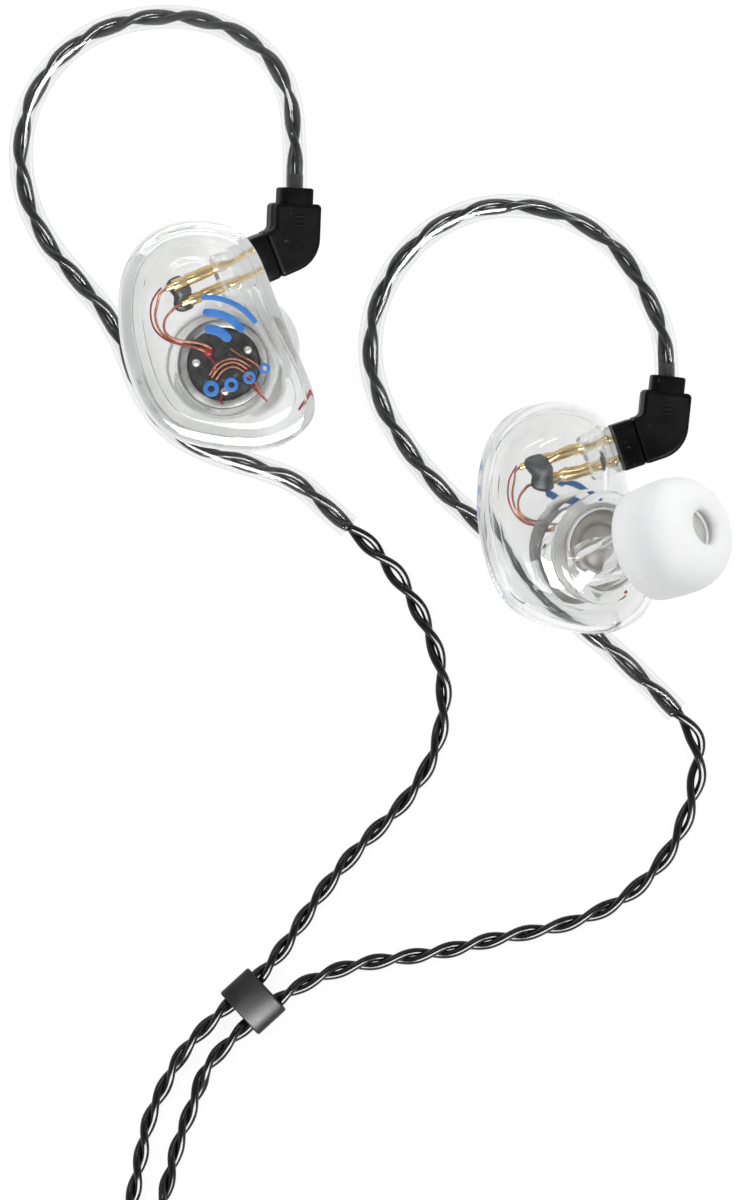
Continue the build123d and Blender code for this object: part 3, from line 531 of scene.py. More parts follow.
# The long strips only light the object; the front panel only shows in its gloss, as a reflecting card does.
# Each row: place and size in metres, watts, whether it lights matte surfaces,
# and whether it shows in gloss and glass.
lamps = {
    "leftStrip": ((-0.55, 0.2, 0.75), (0.05, 0.6), 1.9, True, False),
    "rightStrip": ((0.6, 0.05, 0.7), (0.05, 0.6), 1.9, True, False),
    "topStrip": ((-0.1, 0.6, 0.8), (0.6, 0.06), 1.5, True, True),
    "frontPanel": ((0.12, -0.5, 0.62), (0.9, 0.45), 48.0, False, True),
}
for name, (at, size, power, lights, shows) in lamps.items():
    light = bpy.data.lights.new(name, "AREA")
    light.shape, light.energy = "RECTANGLE", power
    light.size, light.size_y = size
    box = addObject(name, light)
    box.location = at
    aim = -box.location
    aim.y += camera["aim"][1]
    box.rotation_euler = aim.to_track_quat("-Z", "Y").to_euler()
    box.visible_diffuse, box.visible_glossy, box.visible_transmission = lights, shows, shows
    if not lights:
        light.use_nodes = True   # lit until a matte surface has been met, then dark
        rays = light.node_tree
        depth = addNode(rays, "LightPath", {}).outputs["Diffuse Depth"]
        matte = addNode(rays, "Math", {0: depth, 1: 0.5}, operation="LESS_THAN")
        shine = [n for n in rays.nodes if n.type == "EMISSION"][0]
        rays.links.new(matte.outputs[0], shine.inputs["Strength"])
print("table and light ready")

hookZ, leadZ = 1.2, 0.75   # heights in mm of a hook tube and of a lead that lie on the table


# Points of a route; where one has no height of its own, it takes the given one.
def laid(points, height):
    return [(*point, height)[:3] for point in points]


hookPoints = {
    "left": [
        (-8.0, 26.9, 15.8), (-11.0, 31.2, 13.9), (-15.4, 33.6, 11.3), (-20.5, 34.3, 8.7), (-25.8, 33.5, 6.3),
        (-30.4, 31.0, 4.3), (-33.6, 27.0, 2.7), (-35.1, 22.0, 1.7), (-34.7, 16.9), (-32.8, 12.2),
        (-29.4, 8.1), (-26.3, 4.7), (-24.3, 0.7), (-22.9, -3.4), (-20.1, -7.1), (-15.7, -9.4), (-11.1, -10.7),
        (-6.9, -12.3), (-4.4, -14.8), (-2.1, -16.7),
    ],
    "right": [
        (26.9, 7.9, 7.0), (24.2, 11.6, 6.2), (20.2, 14.2, 5.1), (15.5, 15.5, 4.0), (10.6, 15.2, 2.9),
        (6.1, 13.2, 2.0), (2.5, 9.6, 1.4), (0.3, 5.0), (-0.2, 0.0), (1.2, -4.9), (3.9, -9.3), (7.4, -13.4),
        (11.2, -16.6), (15.2, -20.6), (20.3, -25.9), (25.4, -29.9), (30.6, -35.2),
    ],
}
monitorLie = {
    "left": {"origin": (-15.4, 2.0, 23.13), "tilt": 4.5, "heading": 0.0, "outward": -1},
    "right": {"origin": (19.15, -15.9, 6.8), "tilt": 26.0, "heading": -4.0, "outward": 1},
}


# Front, up and inward directions of a monitor: tilted about its own upright axis, then turned on the table.
def monitorAxes(side):
    lie = monitorLie[side]
    tilt, heading = np.radians(lie["tilt"]), np.radians(lie["heading"])
    spin = np.array(
        [[np.cos(heading), -np.sin(heading), 0], [np.sin(heading), np.cos(heading), 0], [0, 0, 1]]
    )
    front = spin @ [np.cos(tilt), 0, -np.sin(tilt)]
    inward = spin @ [lie["outward"] * np.sin(tilt), 0, lie["outward"] * np.cos(tilt)]
    return np.stack([front, spin @ [0, 1, 0], inward])


# Points in a monitor's own axes, mm, put where that monitor lies, in metres.
def placed(points, side):
    return (np.asarray(points, float) @ monitorAxes(side) + monitorLie[side]["origin"]) * mm


plug = {
    "seat": (3.7, 7.35, 3.4), "pinAxis": (0.89, 0.38, 0.25), "legAxis": (0.04, 0.998, 0.0),
    "elbowReach": 4.9, "legLength": 4.15, "collarLength": 1.55, "tubeInsert": 3.0, "leadOut": 3.0,
}
pinAxis, legAxis = unit(plug["pinAxis"]), unit(plug["legAxis"])
sideAxis = unit(legAxis - pinAxis * (legAxis @ pinAxis))
plugNormal = np.cross(pinAxis, sideAxis)
legAlong, legAcross = legAxis @ pinAxis, legAxis @ sideAxis
collarEnd = plug["legLength"] + plug["collarLength"]


# Places in the plug's own axes: along the pins, towards the leg, and over the plane of both.
def plugSpace(points):
    return np.asarray(plug["seat"]) + np.asarray(points, float) @ np.stack([pinAxis, sideAxis, plugNormal])


# A place in the plug's plane: along the leg from the elbow's corner, and off to its right.
def legFlat(along, aside=0.0):
    return plug["elbowReach"] + along * legAlong + aside * legAcross, along * legAcross - aside * legAlong


# Places in the leg's own axes: across it, over it and along it.
def legSpace(points):
    corner = plugSpace((plug["elbowReach"], 0, 0))
    return corner + np.asarray(points, float) @ np.stack([np.cross(plugNormal, legAxis), plugNormal, legAxis])


hookRoutes = {}
for side in sides:
    ends = legSpace([(0, 0, collarEnd - plug["tubeInsert"]), (0, 0, collarEnd + plug["leadOut"])])
    hookRoutes[side] = np.vstack([placed(ends, side) / mm, laid(hookPoints[side], hookZ)])

slider = {"at": (-11.72, -64.10, 1.6), "heading": 222.5, "pitch": 2.7, "length": 3.8, "travel": 4.0}
splitter = {"at": (-12.6, -107.6, 1.5), "heading": 20.0, "length": 10.0, "insert": 1.5, "spread": 1.1}
leadCoil = {
    "centre": (-21.5, -99.0), "start": 165.0, "turns": 3.29, "perTurn": 18, "moveOn": 0.16,
    "left": [(9.0, 1.3), (7.5, 1.3), (7.5, 2.8), (9.0, 2.8)],
    "right": [(9.0, 4.4), (7.5, 4.4), (7.5, 5.9), (9.0, 5.9)],
}
mainCoil = {
    "centre": (18.0, -102.5), "start": 150.0, "turns": -11.667, "perTurn": 18, "moveOn": 0.16,
    "slots": [(12.7, 1.45), (10.9, 1.45), (9.1, 1.45), (7.3, 1.45), (7.3, 3.25), (7.3, 5.05), (9.1, 5.05),
              (9.1, 3.25), (10.9, 3.25), (10.9, 5.05), (12.7, 5.05), (12.7, 3.25)],
}


def heading2d(degrees):
    return np.array([np.cos(np.radians(degrees)), np.sin(np.radians(degrees)), 0.0])


# A place so far to the right of a piece that lies on the table, and so far along its heading.
def beside(piece, aside, along):
    heading = piece["heading"]
    return np.asarray(piece["at"]) + aside * heading2d(heading - 90) + along * heading2d(heading)


# Points round a coil: the angle grows evenly, and radius and height move on to the next slot in the last
# share of each turn.
def coilTurns(coil, slots):
    slots = np.asarray(slots)
    gone = np.linspace(0, abs(coil["turns"]), int(abs(coil["turns"]) * coil["perTurn"]))
    angle = np.radians(coil["start"]) + np.sign(coil["turns"]) * 2 * np.pi * gone
    at = np.minimum(gone.astype(int), len(slots) - 1)
    share = np.clip((gone - at - (1 - coil["moveOn"])) / coil["moveOn"], 0, 1)
    share = (share * share * (3 - 2 * share))[:, None]
    place = slots[at] * (1 - share) + slots[np.minimum(at + 1, len(slots) - 1)] * share
    x, y = coil["centre"]
    return np.stack([x + place[:, 0] * np.cos(angle), y + place[:, 0] * np.sin(angle), place[:, 1]], -1)


leadPoints = {
    "left": [
        (3.6, -22.6), (6.5, -28.3), (7.6, -33.6), (6.6, -39.4), (3.4, -44.4), (-1.1, -48.6),
        (-5.1, -53.4, 0.9), (-8.1, -58.0, 1.3),
    ],
    "right": [
        (32.9, -41.2), (31.2, -47.1), (28.4, -51.3), (24.6, -54.5), (19.4, -56.6), (13.2, -57.7),
        (7.2, -59.2), (1.4, -60.0), (-3.2, -60.8, 1.1),
    ],
}
lowPoints = {
    "left": [(-20.2, -71.7), (-22.3, -76.0), (-23.2, -81.0), (-24.3, -86.0), (-27.6, -90.6, 1.1)],
    "right": [(-17.4, -73.6), (-19.2, -78.0), (-20.3, -82.4, 1.2), (-21.6, -86.4, 2.9), (-25.4, -89.9, 4.2)],
}
tailPoints = {"left": [(-17.6, -107.3, 1.5)], "right": [(-17.6, -108.2, 5.0), (-14.8, -109.2, 2.7)]}
leadRoutes = {}
for side, row in (("left", 1), ("right", -1)):
    before, start = hookRoutes[side][-2:]
    inBead = [
        beside(slider, row * slider["pitch"] / 2, along)
        for along in (-slider["length"] / 2 - 0.6, slider["length"] / 2 + slider["travel"] + 1.6)
    ]
    inFork = [beside(splitter, -row * splitter["spread"], along) for along in (-0.8, splitter["insert"])]
    leadRoutes[side] = np.vstack([
        start, start + 3.0 * unit(start - before), laid(leadPoints[side], leadZ), inBead,
        laid(lowPoints[side], leadZ), coilTurns(leadCoil, leadCoil[side]), tailPoints[side], inFork,
    ])
outOfFork = [beside(splitter, 0, splitter["length"] + along) for along in (-splitter["insert"], 1.2)]
mainRoute = np.vstack([
    outOfFork, (1.6, -101.2, 1.4), coilTurns(mainCoil, mainCoil["slots"]), (9.7, -116.2, 2.8),
    (6.5, -116.2, 2.8),
])

pair = {
    "count": 2, "radius": 0.4, "offset": 0.375, "pitch": 6.7, "slacker": 2.4, "slackOver": 45.0,
    "columns": 14, "step": 0.35, "open": 0.07, "openFirst": 0.13, "firstAt": 6, "firstOver": 7,
    "waves": (23, 57), "grownBy": 3, "shutFrom": -68.0, "shutOver": 8.0,
}
hookPair = {"count": 2, "radius": 0.4, "offset": 0.43, "pitch": 10.4, "columns": 16, "step": 0.25}
mainStrands = {"count": 4, "radius": 0.36, "offset": 0.54, "pitch": 9.0, "columns": 8, "step": 0.55}
sleeve = {"radius": 1.2, "bore": 0.85, "columns": 32, "step": 0.3}
boot = {"length": 4.4, "radius": 0.845, "columns": 24}


# How far the bare pair opens: most just past the tube, then a little more or less along it, and shut in the coil.
def looseness(path):
    gone = travelled(path) / mm
    short, long = [2 * np.pi * gone / wave for wave in pair["waves"]]
    wander = 0.6 + 0.4 * np.sin(short) * np.cos(long)
    first = np.exp(-((gone - pair["firstAt"]) / pair["firstOver"]) ** 2)
    opening = pair["open"] * wander + pair["openFirst"] * first
    shut = np.clip((path[:, 1] / mm - pair["shutFrom"]) / pair["shutOver"], 0, 1)
    return opening * np.clip(gone / pair["grownBy"], 0, 1) * shut


leads = {}
for side in sides:
    hookPath = readRoute(hookRoutes[side], hookPair["step"])
    parts, turned = strands(hookPath, hookPair)
    addPiece(f"{side}HookPair", parts, "tubedJacket", "cable", "tubed_jacket", f"{side}_hook_cable")

    # A skin, the bore turned back inside it, and two rims.
    tubePath = readRoute(hookRoutes[side], sleeve["step"])
    skins = [sweep(tubePath, sleeve[across] * mm, sleeve["columns"]) for across in ("radius", "bore")]
    tube = skin(np.concatenate([skins[0], skins[1][::-1]]), wrap=True)
    addPiece(
        f"{side}HookSleeve", [tube], "clearTubing", "cable", "clear_tubing", f"{side}_hook_tube", sharp=50
    )

    booted = hookPath[travelled(hookPath) < boot["length"] * mm]
    bootSkin = roundBar(booted, boot["radius"] * mm, boot["columns"])
    addPiece(f"{side}HookBoot", [bootSkin], "greySleeve", "cable", "black_moulding", sharp=40)

    leadPath = readRoute(leadRoutes[side], pair["step"])
    parts, turned = strands(leadPath, pair, turned, looseness(leadPath))
    lead = addPiece(
        f"{side}Lead", parts, "cableJacket", "cable", "black_jacket", f"{side}_lead", f"{side}_lead_coil",
    )
    leads[side] = (lead, leadPath)

mainPath = readRoute(mainRoute, mainStrands["step"])
mainParts = strands(mainPath, mainStrands)[0]
mainCable = addPiece("mainCable", mainParts, "cableJacket", "cable", "black_jacket", "main_lead", "main_coil")
print("cables made")

shell = {
    "rim": [(-1.3, 11.4), (2.6, 10.3), (5.2, 6.0), (7.2, 0.8), (9.3, -4.2), (9.8, -7.6), (7.4, -10.2),
            (1.0, -11.0), (-5.0, -9.1), (-8.3, -3.8), (-9.4, 2.8), (-8.0, 8.4), (-5.0, 10.8)],
    "crown": [(-2.2, 10.9), (0.6, 9.9), (2.9, 6.0), (4.8, 1.6), (6.5, -2.4), (6.7, -6.2), (4.9, -8.8),
              (0.4, -9.6), (-4.0, -8.0), (-6.9, -3.4), (-7.9, 2.2), (-7.2, 7.4), (-5.2, 10.0)],
    "levels": [(0.0, 0.0, 0.0), (1.5, 0.08, -0.25), (3.2, 0.42, -0.25), (4.99, 0.86, 0.1), (6.4, 1.0, 1.0),
               (7.3, 1.0, 2.4), (7.9, 1.0, 4.4)],
    "cavity": [(-1.0, 0.0, 1.3), (1.5, 0.08, 1.05), (3.2, 0.42, 1.3), (4.59, 0.86, 2.1), (5.4, 1.0, 3.7)],
    "columns": 200, "rows": 44, "cavityRows": 24, "crownRise": 0.2,
    "driver": (1.0, -2.6), "cupRadius": 5.65, "cupFoot": 3.2, "cupTop": 8.6, "cupRound": 0.8,
    "cupColumns": 120, "pocketRadius": 4.55, "ledgeRadius": 3.9, "driverFront": 6.5, "chamberTop": 7.5,
    "bossLength": 3.6, "bossWidth": 4.56, "bossDepth": 2.56, "seatWidth": 5.4, "seatDepth": 3.9,
    "seatReach": 8.0,
}
nozzle = {
    "root": (0.1, -4.1, 8.6), "axis": (0.365, 0.30, 0.88), "length": 12.6, "radius": 2.2, "flare": 1.3,
    "lipRadius": 2.45, "lipLength": 1.2, "bore": 1.5, "screenRadius": 1.9, "screen": 0.3,
}
contacts = {
    "pitch": 2.0, "pinRadius": 0.39, "pinReach": 5.0, "fit": 0.03, "socketRadius": 0.58, "socketLength": 5.8,
    "depth": 1.6, "stagger": 1.0, "tail": 0.8,
}
inwards = np.array((0.0, 0.0, 1.0))


def socketStart(row):
    return -contacts["depth"] - (row + 1) / 2 * contacts["stagger"]


def contactFoot(row):
    return plugSpace((0, row * contacts["pitch"] / 2, 0))


# A closed ring at one height: rim and crown points mixed by the share, moved in, and joined by an even curve.
def outlineRing(height, share, inset):
    rim, crown = np.array(shell["rim"]), np.array(shell["crown"])
    points = rim + (crown - rim) * share
    points = points + unit(np.c_[np.zeros(len(points)), 0.15 * points[:, 1]] - points) * inset
    knots = travelled(np.vstack([rim, rim[:1]]))
    at = np.linspace(0, knots[-1], shell["columns"], endpoint=False)
    return atHeight(smoothThrough(knots, points, at, closed=True), height)


# The lofted hull: each column of points runs as an even curve through the levels, then in to the crown's pole.
def hullSkin(levels, rows, rise=0.0):
    rings = np.stack([outlineRing(*level) for level in levels])
    knots = np.r_[0, np.cumsum(np.linalg.norm(np.diff(rings, axis=0), axis=2).mean(1))]
    rings = smoothThrough(knots, rings, np.linspace(0, knots[-1], rows))
    middle = rings[-1].mean(0)
    share = np.linspace(1, 0, 5)[1:-1, None, None]
    cap = middle + (rings[-1] - middle) * share + rise * (1 - share**2) * inwards
    return skin(np.concatenate([rings, cap]), rings[0].mean(0), middle + rise * inwards)


# Profile with square steps: from its start, through pairs of a radius and the height at which that radius ends.
def stepped(start, *steps):
    rows = [(0, start)]
    for radius, end in steps:
        rows += [(radius, rows[-1][1]), (radius, end)]
    return [*rows, (0, rows[-1][1])]


# Forms turned about the driver's axis, the nozzle's and a contact's; heights in mm along each.
def onDriver(profile, columns=shell["cupColumns"], wrap=False):
    return turnedSkin(profile, (*shell["driver"], 0.0), inwards, columns, wrap)


def onNozzle(profile, columns, wrap=False):
    return turnedSkin(profile, nozzle["root"], nozzle["axis"], columns, wrap)


def onContact(row, profile, columns):
    return turnedSkin(profile, contactFoot(row), pinAxis, columns)


def plugPlace(points):
    return plugSpace(points[:, (2, 0, 1)])


# Profile on the nozzle's axis: foot flare, tube, and the lip that holds the ear tip.
def nozzleProfile():
    fall = np.linspace(0, 1, 8)
    flare = np.c_[nozzle["radius"] + nozzle["flare"] * (1 - fall) ** 2, -1.1 + 3.0 * fall]
    lip = nozzle["length"] - nozzle["lipLength"]
    corners = [
        (nozzle["radius"], 3.0), (nozzle["radius"], lip), (nozzle["lipRadius"], lip + 0.15),
        (nozzle["lipRadius"], nozzle["length"]), (0, nozzle["length"]),
    ]
    return np.vstack([[(0, -1.1)], flare, softCorners(corners, (0.1, 0.08, 0.08, 0.2, 0.1), closed=False)])


# The clear shell in mm: hull, cup and nozzle joined, then cavity, driver pocket, bore,
# seat and contact holes cut.
def shellMesh():
    foot, top, wide = shell["cupFoot"], shell["cupTop"], shell["cupRadius"]
    shoulder = softCorners([(wide, 5.0), (wide, top), (2.0, top)], shell["cupRound"], 8, closed=False)
    cup = np.vstack([[(0, foot), (wide - 0.1, foot), (wide, foot + 0.1)], shoulder, [(0, top)]])
    boss = barSkin(shell["bossWidth"], shell["bossDepth"], 4.0, -shell["bossLength"], 0.6, 0.3, 48, plugPlace)
    around = onDriver(stepped(foot, (wide, top + 0.4)))
    cavity = carved(hullSkin(shell["cavity"], shell["cavityRows"]), [], [around, boss])
    steps = stepped(
        -0.6, (shell["pocketRadius"], shell["driverFront"]), (shell["ledgeRadius"], shell["chamberTop"])
    )
    pocket = softCorners(steps, 0.12, 4, closed=False)
    end = nozzle["length"]
    bore = stepped(-1.7, (nozzle["bore"], end - nozzle["screen"]), (nozzle["screenRadius"], end + 0.5))
    seat = barSkin(shell["seatWidth"], shell["seatDepth"], 5.0, 0.0, shell["seatReach"], 0.08, 64, plugPlace)
    rear, wide = -shell["bossLength"] - 3.0, contacts["socketRadius"] + 0.01
    narrow = contacts["pinRadius"] + contacts["fit"]
    holes = [onContact(row, stepped(rear, (wide, socketStart(row)), (narrow, 0.4)), 32) for row in (-1, 1)]
    return carved(
        hullSkin(shell["levels"], shell["rows"], shell["crownRise"]),
        [onDriver(cup), onNozzle(nozzleProfile(), 80)],
        [cavity, onDriver(pocket), onNozzle(bore, 64), seat, *holes],
    )


shellForm = shellMesh()
print("shell cut:", len(shellForm.polygons), "faces")
for side in sides:   # the left side is the mirror image
    form = movedMesh(shellForm, lambda points: placed(points, side), side == "left")
    showMesh(f"{side}Shell", form, "clearResin", f"{side}_monitor", "clear_resin", f"{side}_shell", sharp=32)

plate = {
    "top": -1.5, "edgeTop": -0.55, "shoulder": 2.7, "softness": 2.3, "underside": -0.012,
    "lipStart": 1.37, "lipWidth": 0.86, "lipHeight": 0.5,
}


# The faceplate: flat underside with its locating lip, and an outside that swells from the rim as a soft shoulder.
def plateSkin():
    start, under, high = plate["lipStart"], plate["underside"], plate["lipHeight"]
    end = start + plate["lipWidth"]
    below = [(end + 0.1, under), (end, under + 0.04), (end - 0.03, high), (start + 0.03, high),
             (start, under + 0.04), (start - 0.1, under), (0.1, under), (0.0, under - 0.08),
             (0.0, plate["edgeTop"])]
    gone = np.linspace(0, 1, 22)[1:]
    rise = (1 - (1 - gone) ** plate["softness"]) ** (1 / plate["softness"])
    dome = np.c_[plate["shoulder"] * gone, plate["edgeTop"] + (plate["top"] - plate["edgeTop"]) * rise]
    rings = np.stack([outlineRing(height, 0.0, inset) for inset, height in np.vstack([below, dome])])
    share = np.linspace(1, 0, 7)[1:-1, None, None]
    foot, crown = rings[0].mean(0), rings[-1].mean(0)
    inner = (foot + (rings[0] - foot) * share)[::-1]
    outer = crown + (rings[-1] - crown) * share
    return skin(np.concatenate([inner, rings, outer]), foot, crown)


# The same parts in a monitor's own axes, made once for each side, by default on that side's monitor.
def pairOf(name, parts, finish, slot, node=None, sharp=None, body="{}_monitor"):
    for side in sides:
        put = [(placed(points, side), faces) for points, faces in parts]
        replaced = [f"{side}_{node}"] if node else []
        addPiece(f"{side}{name}", put, finish, body.format(side), slot, *replaced, sharp=sharp)


pairOf("Faceplate", [plateSkin()], "clearResin", "clear_resin", "faceplate", 30)

motif = {
    "centre": (-0.9, -1.9), "arcs": ((2.7, 0.95), (4.35, 0.8), (5.85, 0.55)), "from": 34.0, "to": 96.0,
    "dots": ((-0.5, -5.1, 0.8), (1.5, -4.7, 0.72), (3.3, -4.0, 0.64), (4.8, -3.1, 0.56)), "dotBore": 0.42,
    "height": -1.5, "thickness": 0.035, "columns": 12,
}


# A printed stroke along a flat path: a flattened round section whose width closes in a half circle at each end.
def strokeSkin(path, width, closed=False):
    ahead = unit(np.roll(path, -1, 0) - np.roll(path, 1, 0)) if closed else unit(np.gradient(path, axis=0))
    across = np.c_[-ahead[:, 1], ahead[:, 0], np.zeros(len(path))]
    middle = atHeight(path, motif["height"])
    reach = np.full(len(path), width / 2)
    if not closed:
        gone = travelled(path)
        end = np.minimum(gone, gone[-1] - gone)
        reach = np.where(end < width / 2, np.sqrt(np.clip(width * end - end**2, 0, None)), reach)
        reach = np.maximum(reach, 0.01)
    a = roundAngles(motif["columns"])[None, :, None]
    rings = middle[:, None] + reach[:, None, None] * np.cos(a) * across[:, None]
    rings = rings - motif["thickness"] * np.sin(a) * inwards
    return skin(rings, wrap=True) if closed else skin(rings, middle[0], middle[-1])


def ringPath(centre, radius, angles):
    return np.c_[centre[0] + radius * np.cos(angles), centre[1] + radius * np.sin(angles)]


sweepOver = np.radians(np.linspace(motif["from"], motif["to"], 60))
strokes = [strokeSkin(ringPath(motif["centre"], radius, sweepOver), width) for radius, width in motif["arcs"]]
for u, v, size in motif["dots"]:
    loop = ringPath((u, v), size * (1 + motif["dotBore"]) / 2, roundAngles(48))
    strokes.append(strokeSkin(loop, size * (1 - motif["dotBore"]), True))
pairOf("FaceplatePrint", strokes, "bluePrint", "clear_resin")
print("faceplates made")

driver = {
    "radius": 4.5, "back": 2.2, "split": 4.7, "front": 6.5, "mouth": 3.58, "seam": 4.12, "ringInner": 3.72
}


# The can has a rolled rear rim, a straight wall, and a crimped seam where the pale front ring goes in; the
# ring has a step where it meets the can, a plain wall and a chamfered lip around the diaphragm.
def driverSkins():
    back, split, front, wide, seam = (driver[name] for name in ("back", "split", "front", "radius", "seam"))
    mouth, inner, ring = driver["mouth"], driver["ringInner"], wide - 0.04
    can = [
        (mouth, back + 0.12), (mouth + 0.12, back), (wide - 0.18, back), (wide, back + 0.18),
        (wide, split - 0.5), (wide - 0.07, split - 0.43), (wide - 0.07, split - 0.3), (wide, split - 0.23),
        (wide, split - 0.1), (wide - 0.1, split), (seam, split), (seam, back + 1.0), (mouth, back + 0.9),
    ]
    step = [
        (seam - 0.03, split - 0.8), (seam - 0.03, split + 0.03), (ring, split + 0.03), (ring, front - 0.3),
        (ring - 0.3, front), (inner + 0.15, front), (inner, front - 0.3), (seam - 0.2, front - 0.9),
        (seam - 0.2, split - 0.8),
    ]
    return [
        onDriver(softCorners(corners, soft, 3), 96, wrap=True)
        for corners, soft in ((can, 0.05), (step, 0.04))
    ]


can, ring = driverSkins()
pairOf("DriverCan", [can], "driverSteel", "driver_steel", "driver_can", 40)
pairOf("DriverRing", [ring], "driverFrame", "driver_steel", sharp=40)

wiring = {
    "copper": [
        [(-5.6, 3.6, 1.1), (-6.0, 2.0, 1.35), (-5.3, 0.3, 1.5), (-3.6, -0.7, 1.6), (-1.6, -1.0, 1.75),
         (-0.6, -1.5, 2.15)],
        [(-4.0, 2.9, 1.25), (-5.1, 1.7, 1.3), (-4.9, 0.2, 1.45), (-3.2, -0.4, 1.55), (-1.2, -0.5, 1.75),
         (-0.2, -1.1, 2.15)],
    ],
    "red": [
        [(-5.3, 4.9, 0.95), (-6.2, 4.0, 0.9), (-6.5, 2.2, 1.1), (-5.9, 0.5, 1.3), (-4.2, -0.6, 1.35),
         (-2.0, -0.9, 1.5), (-0.9, -1.2, 1.95)],
        [(3.2, -3.9, 2.15), (3.8, -4.8, 1.75), (4.4, -5.5, 1.6), (5.3, -6.3, 1.85)],
        [(-0.8, -1.6, 2.15), (-0.2, -2.2, 1.85), (0.3, -2.9, 1.8), (-0.1, -3.6, 2.1)],
        [(1.0, -5.6, 2.15), (0.4, -6.1, 1.8), (0.9, -6.6, 1.75)],
    ],
    "curls": [
        [(-0.4, -3.7, 2.2), (0.0, -2.8, 1.8), (1.2, -2.1, 1.65), (2.6, -2.1, 1.7), (3.6, -2.9, 2.15)],
        [(-0.2, -4.0, 2.2), (0.2, -3.2, 1.85), (1.2, -2.5, 1.7), (2.4, -2.45, 1.75), (3.3, -3.1, 2.15)],
        [(0.2, -4.2, 2.2), (0.5, -3.6, 1.9), (1.3, -2.95, 1.75), (2.3, -2.85, 1.8), (3.0, -3.4, 2.15)],
        [(1.6, -1.1, 2.2), (2.6, -1.8, 1.75), (3.9, -2.4, 1.7), (4.8, -3.2, 1.9)],
        [(3.4, -3.8, 2.15), (4.1, -4.5, 1.7), (4.6, -5.4, 1.65), (5.1, -6.1, 1.9)],
    ],
    "mark": [(9.0, -5.3, 1.0), (8.95, -5.9, 1.3), (8.6, -6.5, 1.4), (8.3, -7.1, 1.2)],
    "radius": 0.135, "fine": 0.1, "step": 0.12, "columns": 10,
}
looms = []
for row, route in zip((1, -1), wiring["copper"]):
    end = plugSpace((socketStart(row) - contacts["socketLength"] - contacts["tail"] + 0.2, row, 0))
    looms.append([end, end - 0.9 * pinAxis, *route])
for side in sides:   # round wires along routes in the monitor's own axes
    for name, routes, radius, finish, slot in (
        ("Wires", looms, "radius", "enamelledCopper", "enamelled_copper"),
        ("CoilEnds", wiring["curls"], "fine", "enamelledCopper", "enamelled_copper"),
        ("RedLeads", wiring["red"], "fine", "redEnamel", "enamelled_copper"),
        ("SideMark", [wiring["mark"]], "fine", "redEnamel", "clear_resin"),
    ):
        paths = [readRoute(placed(route, side) / mm, wiring["step"]) for route in routes]
        parts = [roundBar(path, wiring[radius] * mm, wiring["columns"]) for path in paths]
        replaced = [f"{side}_wires"] if name == "Wires" else []
        addPiece(f"{side}{name}", parts, finish, f"{side}_monitor", slot, *replaced)


pads = {"ring": 2.73, "angles": (30, 178, 272), "height": 2.28, "radius": 0.46, "rise": 0.34, "columns": 20}
blobs = ((-0.55, -1.45, 2.26, 0.55, 0.32), (3.3, -3.6, 2.26, 0.4, 0.25))


# A low drop on the driver's rear, at a place and height: circles whose radius falls as a quarter ellipse.
def dropSkin(x, y, height, radius, rise):
    a = np.linspace(np.pi / 2, 0, 7)
    dome = np.c_[radius * np.sin(a), rise * np.cos(a)]
    dome[-1, 0] = 0
    profile = [(0, -0.3 * rise), (0.9 * radius, -0.3 * rise), *dome]
    return turnedSkin(profile, (x, y, height), -inwards, pads["columns"])


u, v = shell["driver"]
away, size = pads["ring"], (pads["height"], pads["radius"], pads["rise"])
dots = [dropSkin(u + away * np.cos(a), v + away * np.sin(a), *size) for a in np.radians(pads["angles"])]
pairOf("SolderDots", dots, "solder", "solder", "driver_pads")
pairOf("LeadGlue", [dropSkin(*blob) for blob in blobs], "redEnamel", "enamelled_copper")

rods, pins = [], []
for row in (-1, 1):
    start, reach, wide = socketStart(row), contacts["pinReach"], contacts["socketRadius"]
    end, waist = start - contacts["socketLength"], wide - 0.09
    corners = [
        (0, end - 0.8), (0.3, end - 0.8), (0.34, end), (wide, end), (wide, end + 1.2), (waist, end + 1.25),
        (waist, end + 1.5), (wide, end + 1.55), (wide, start - 1.6), (wide - 0.07, start - 1.55),
        (wide - 0.07, start - 1.3), (wide, start - 1.25), (wide, start), (0.43, start), (0.43, start - 4.8),
        (0, start - 4.8),
    ]
    rods.append(onContact(row, softCorners(corners, 0.03, 3, closed=False), 40))
    corners = [(0, -reach), (0.24, -reach), (0.39, 0.3 - reach), (0.39, 1.2), (0, 1.2)]
    pins.append(onContact(row, softCorners(corners, 0.05, 4, closed=False), 32))
pairOf("Sockets", rods, "goldPlating", "gold_plating", "sockets", 40)
pairOf("PlugPins", pins, "goldPlating", "gold_plating", "plug_pins", 40, "cable")
glue = {
    "width": 3.6, "depth": 1.25, "softness": 2.3, "length": 1.9, "rounding": 0.6, "behind": 0.25,
    "offset": (-0.1, 0.55, 0), "swell": (0.16, 2.3, 0.6), "sway": (0.2, 2.7, 1.1),
}


# Dark glue behind the sockets' ends: a fully rounded bar across both,
# its depth and its ends swelling along a sine.
def glueSkin():
    end = socketStart(1) - contacts["socketLength"] - glue["behind"]
    points, faces = barSkin(
        glue["width"], glue["depth"], glue["softness"], end, end + glue["length"], glue["rounding"], 72,
    )
    swell, sway = [
        high * np.sin(waves * points[:, 0] + turn) for high, waves, turn in (glue["swell"], glue["sway"])
    ]
    points[:, 1] *= 1 + swell
    points[:, 2] += sway
    return plugPlace(points + glue["offset"]), faces


pairOf("SocketGlue", [glueSkin()], "darkEpoxy", "dark_epoxy", "socket_glue")
print("driver, wires and contacts made")

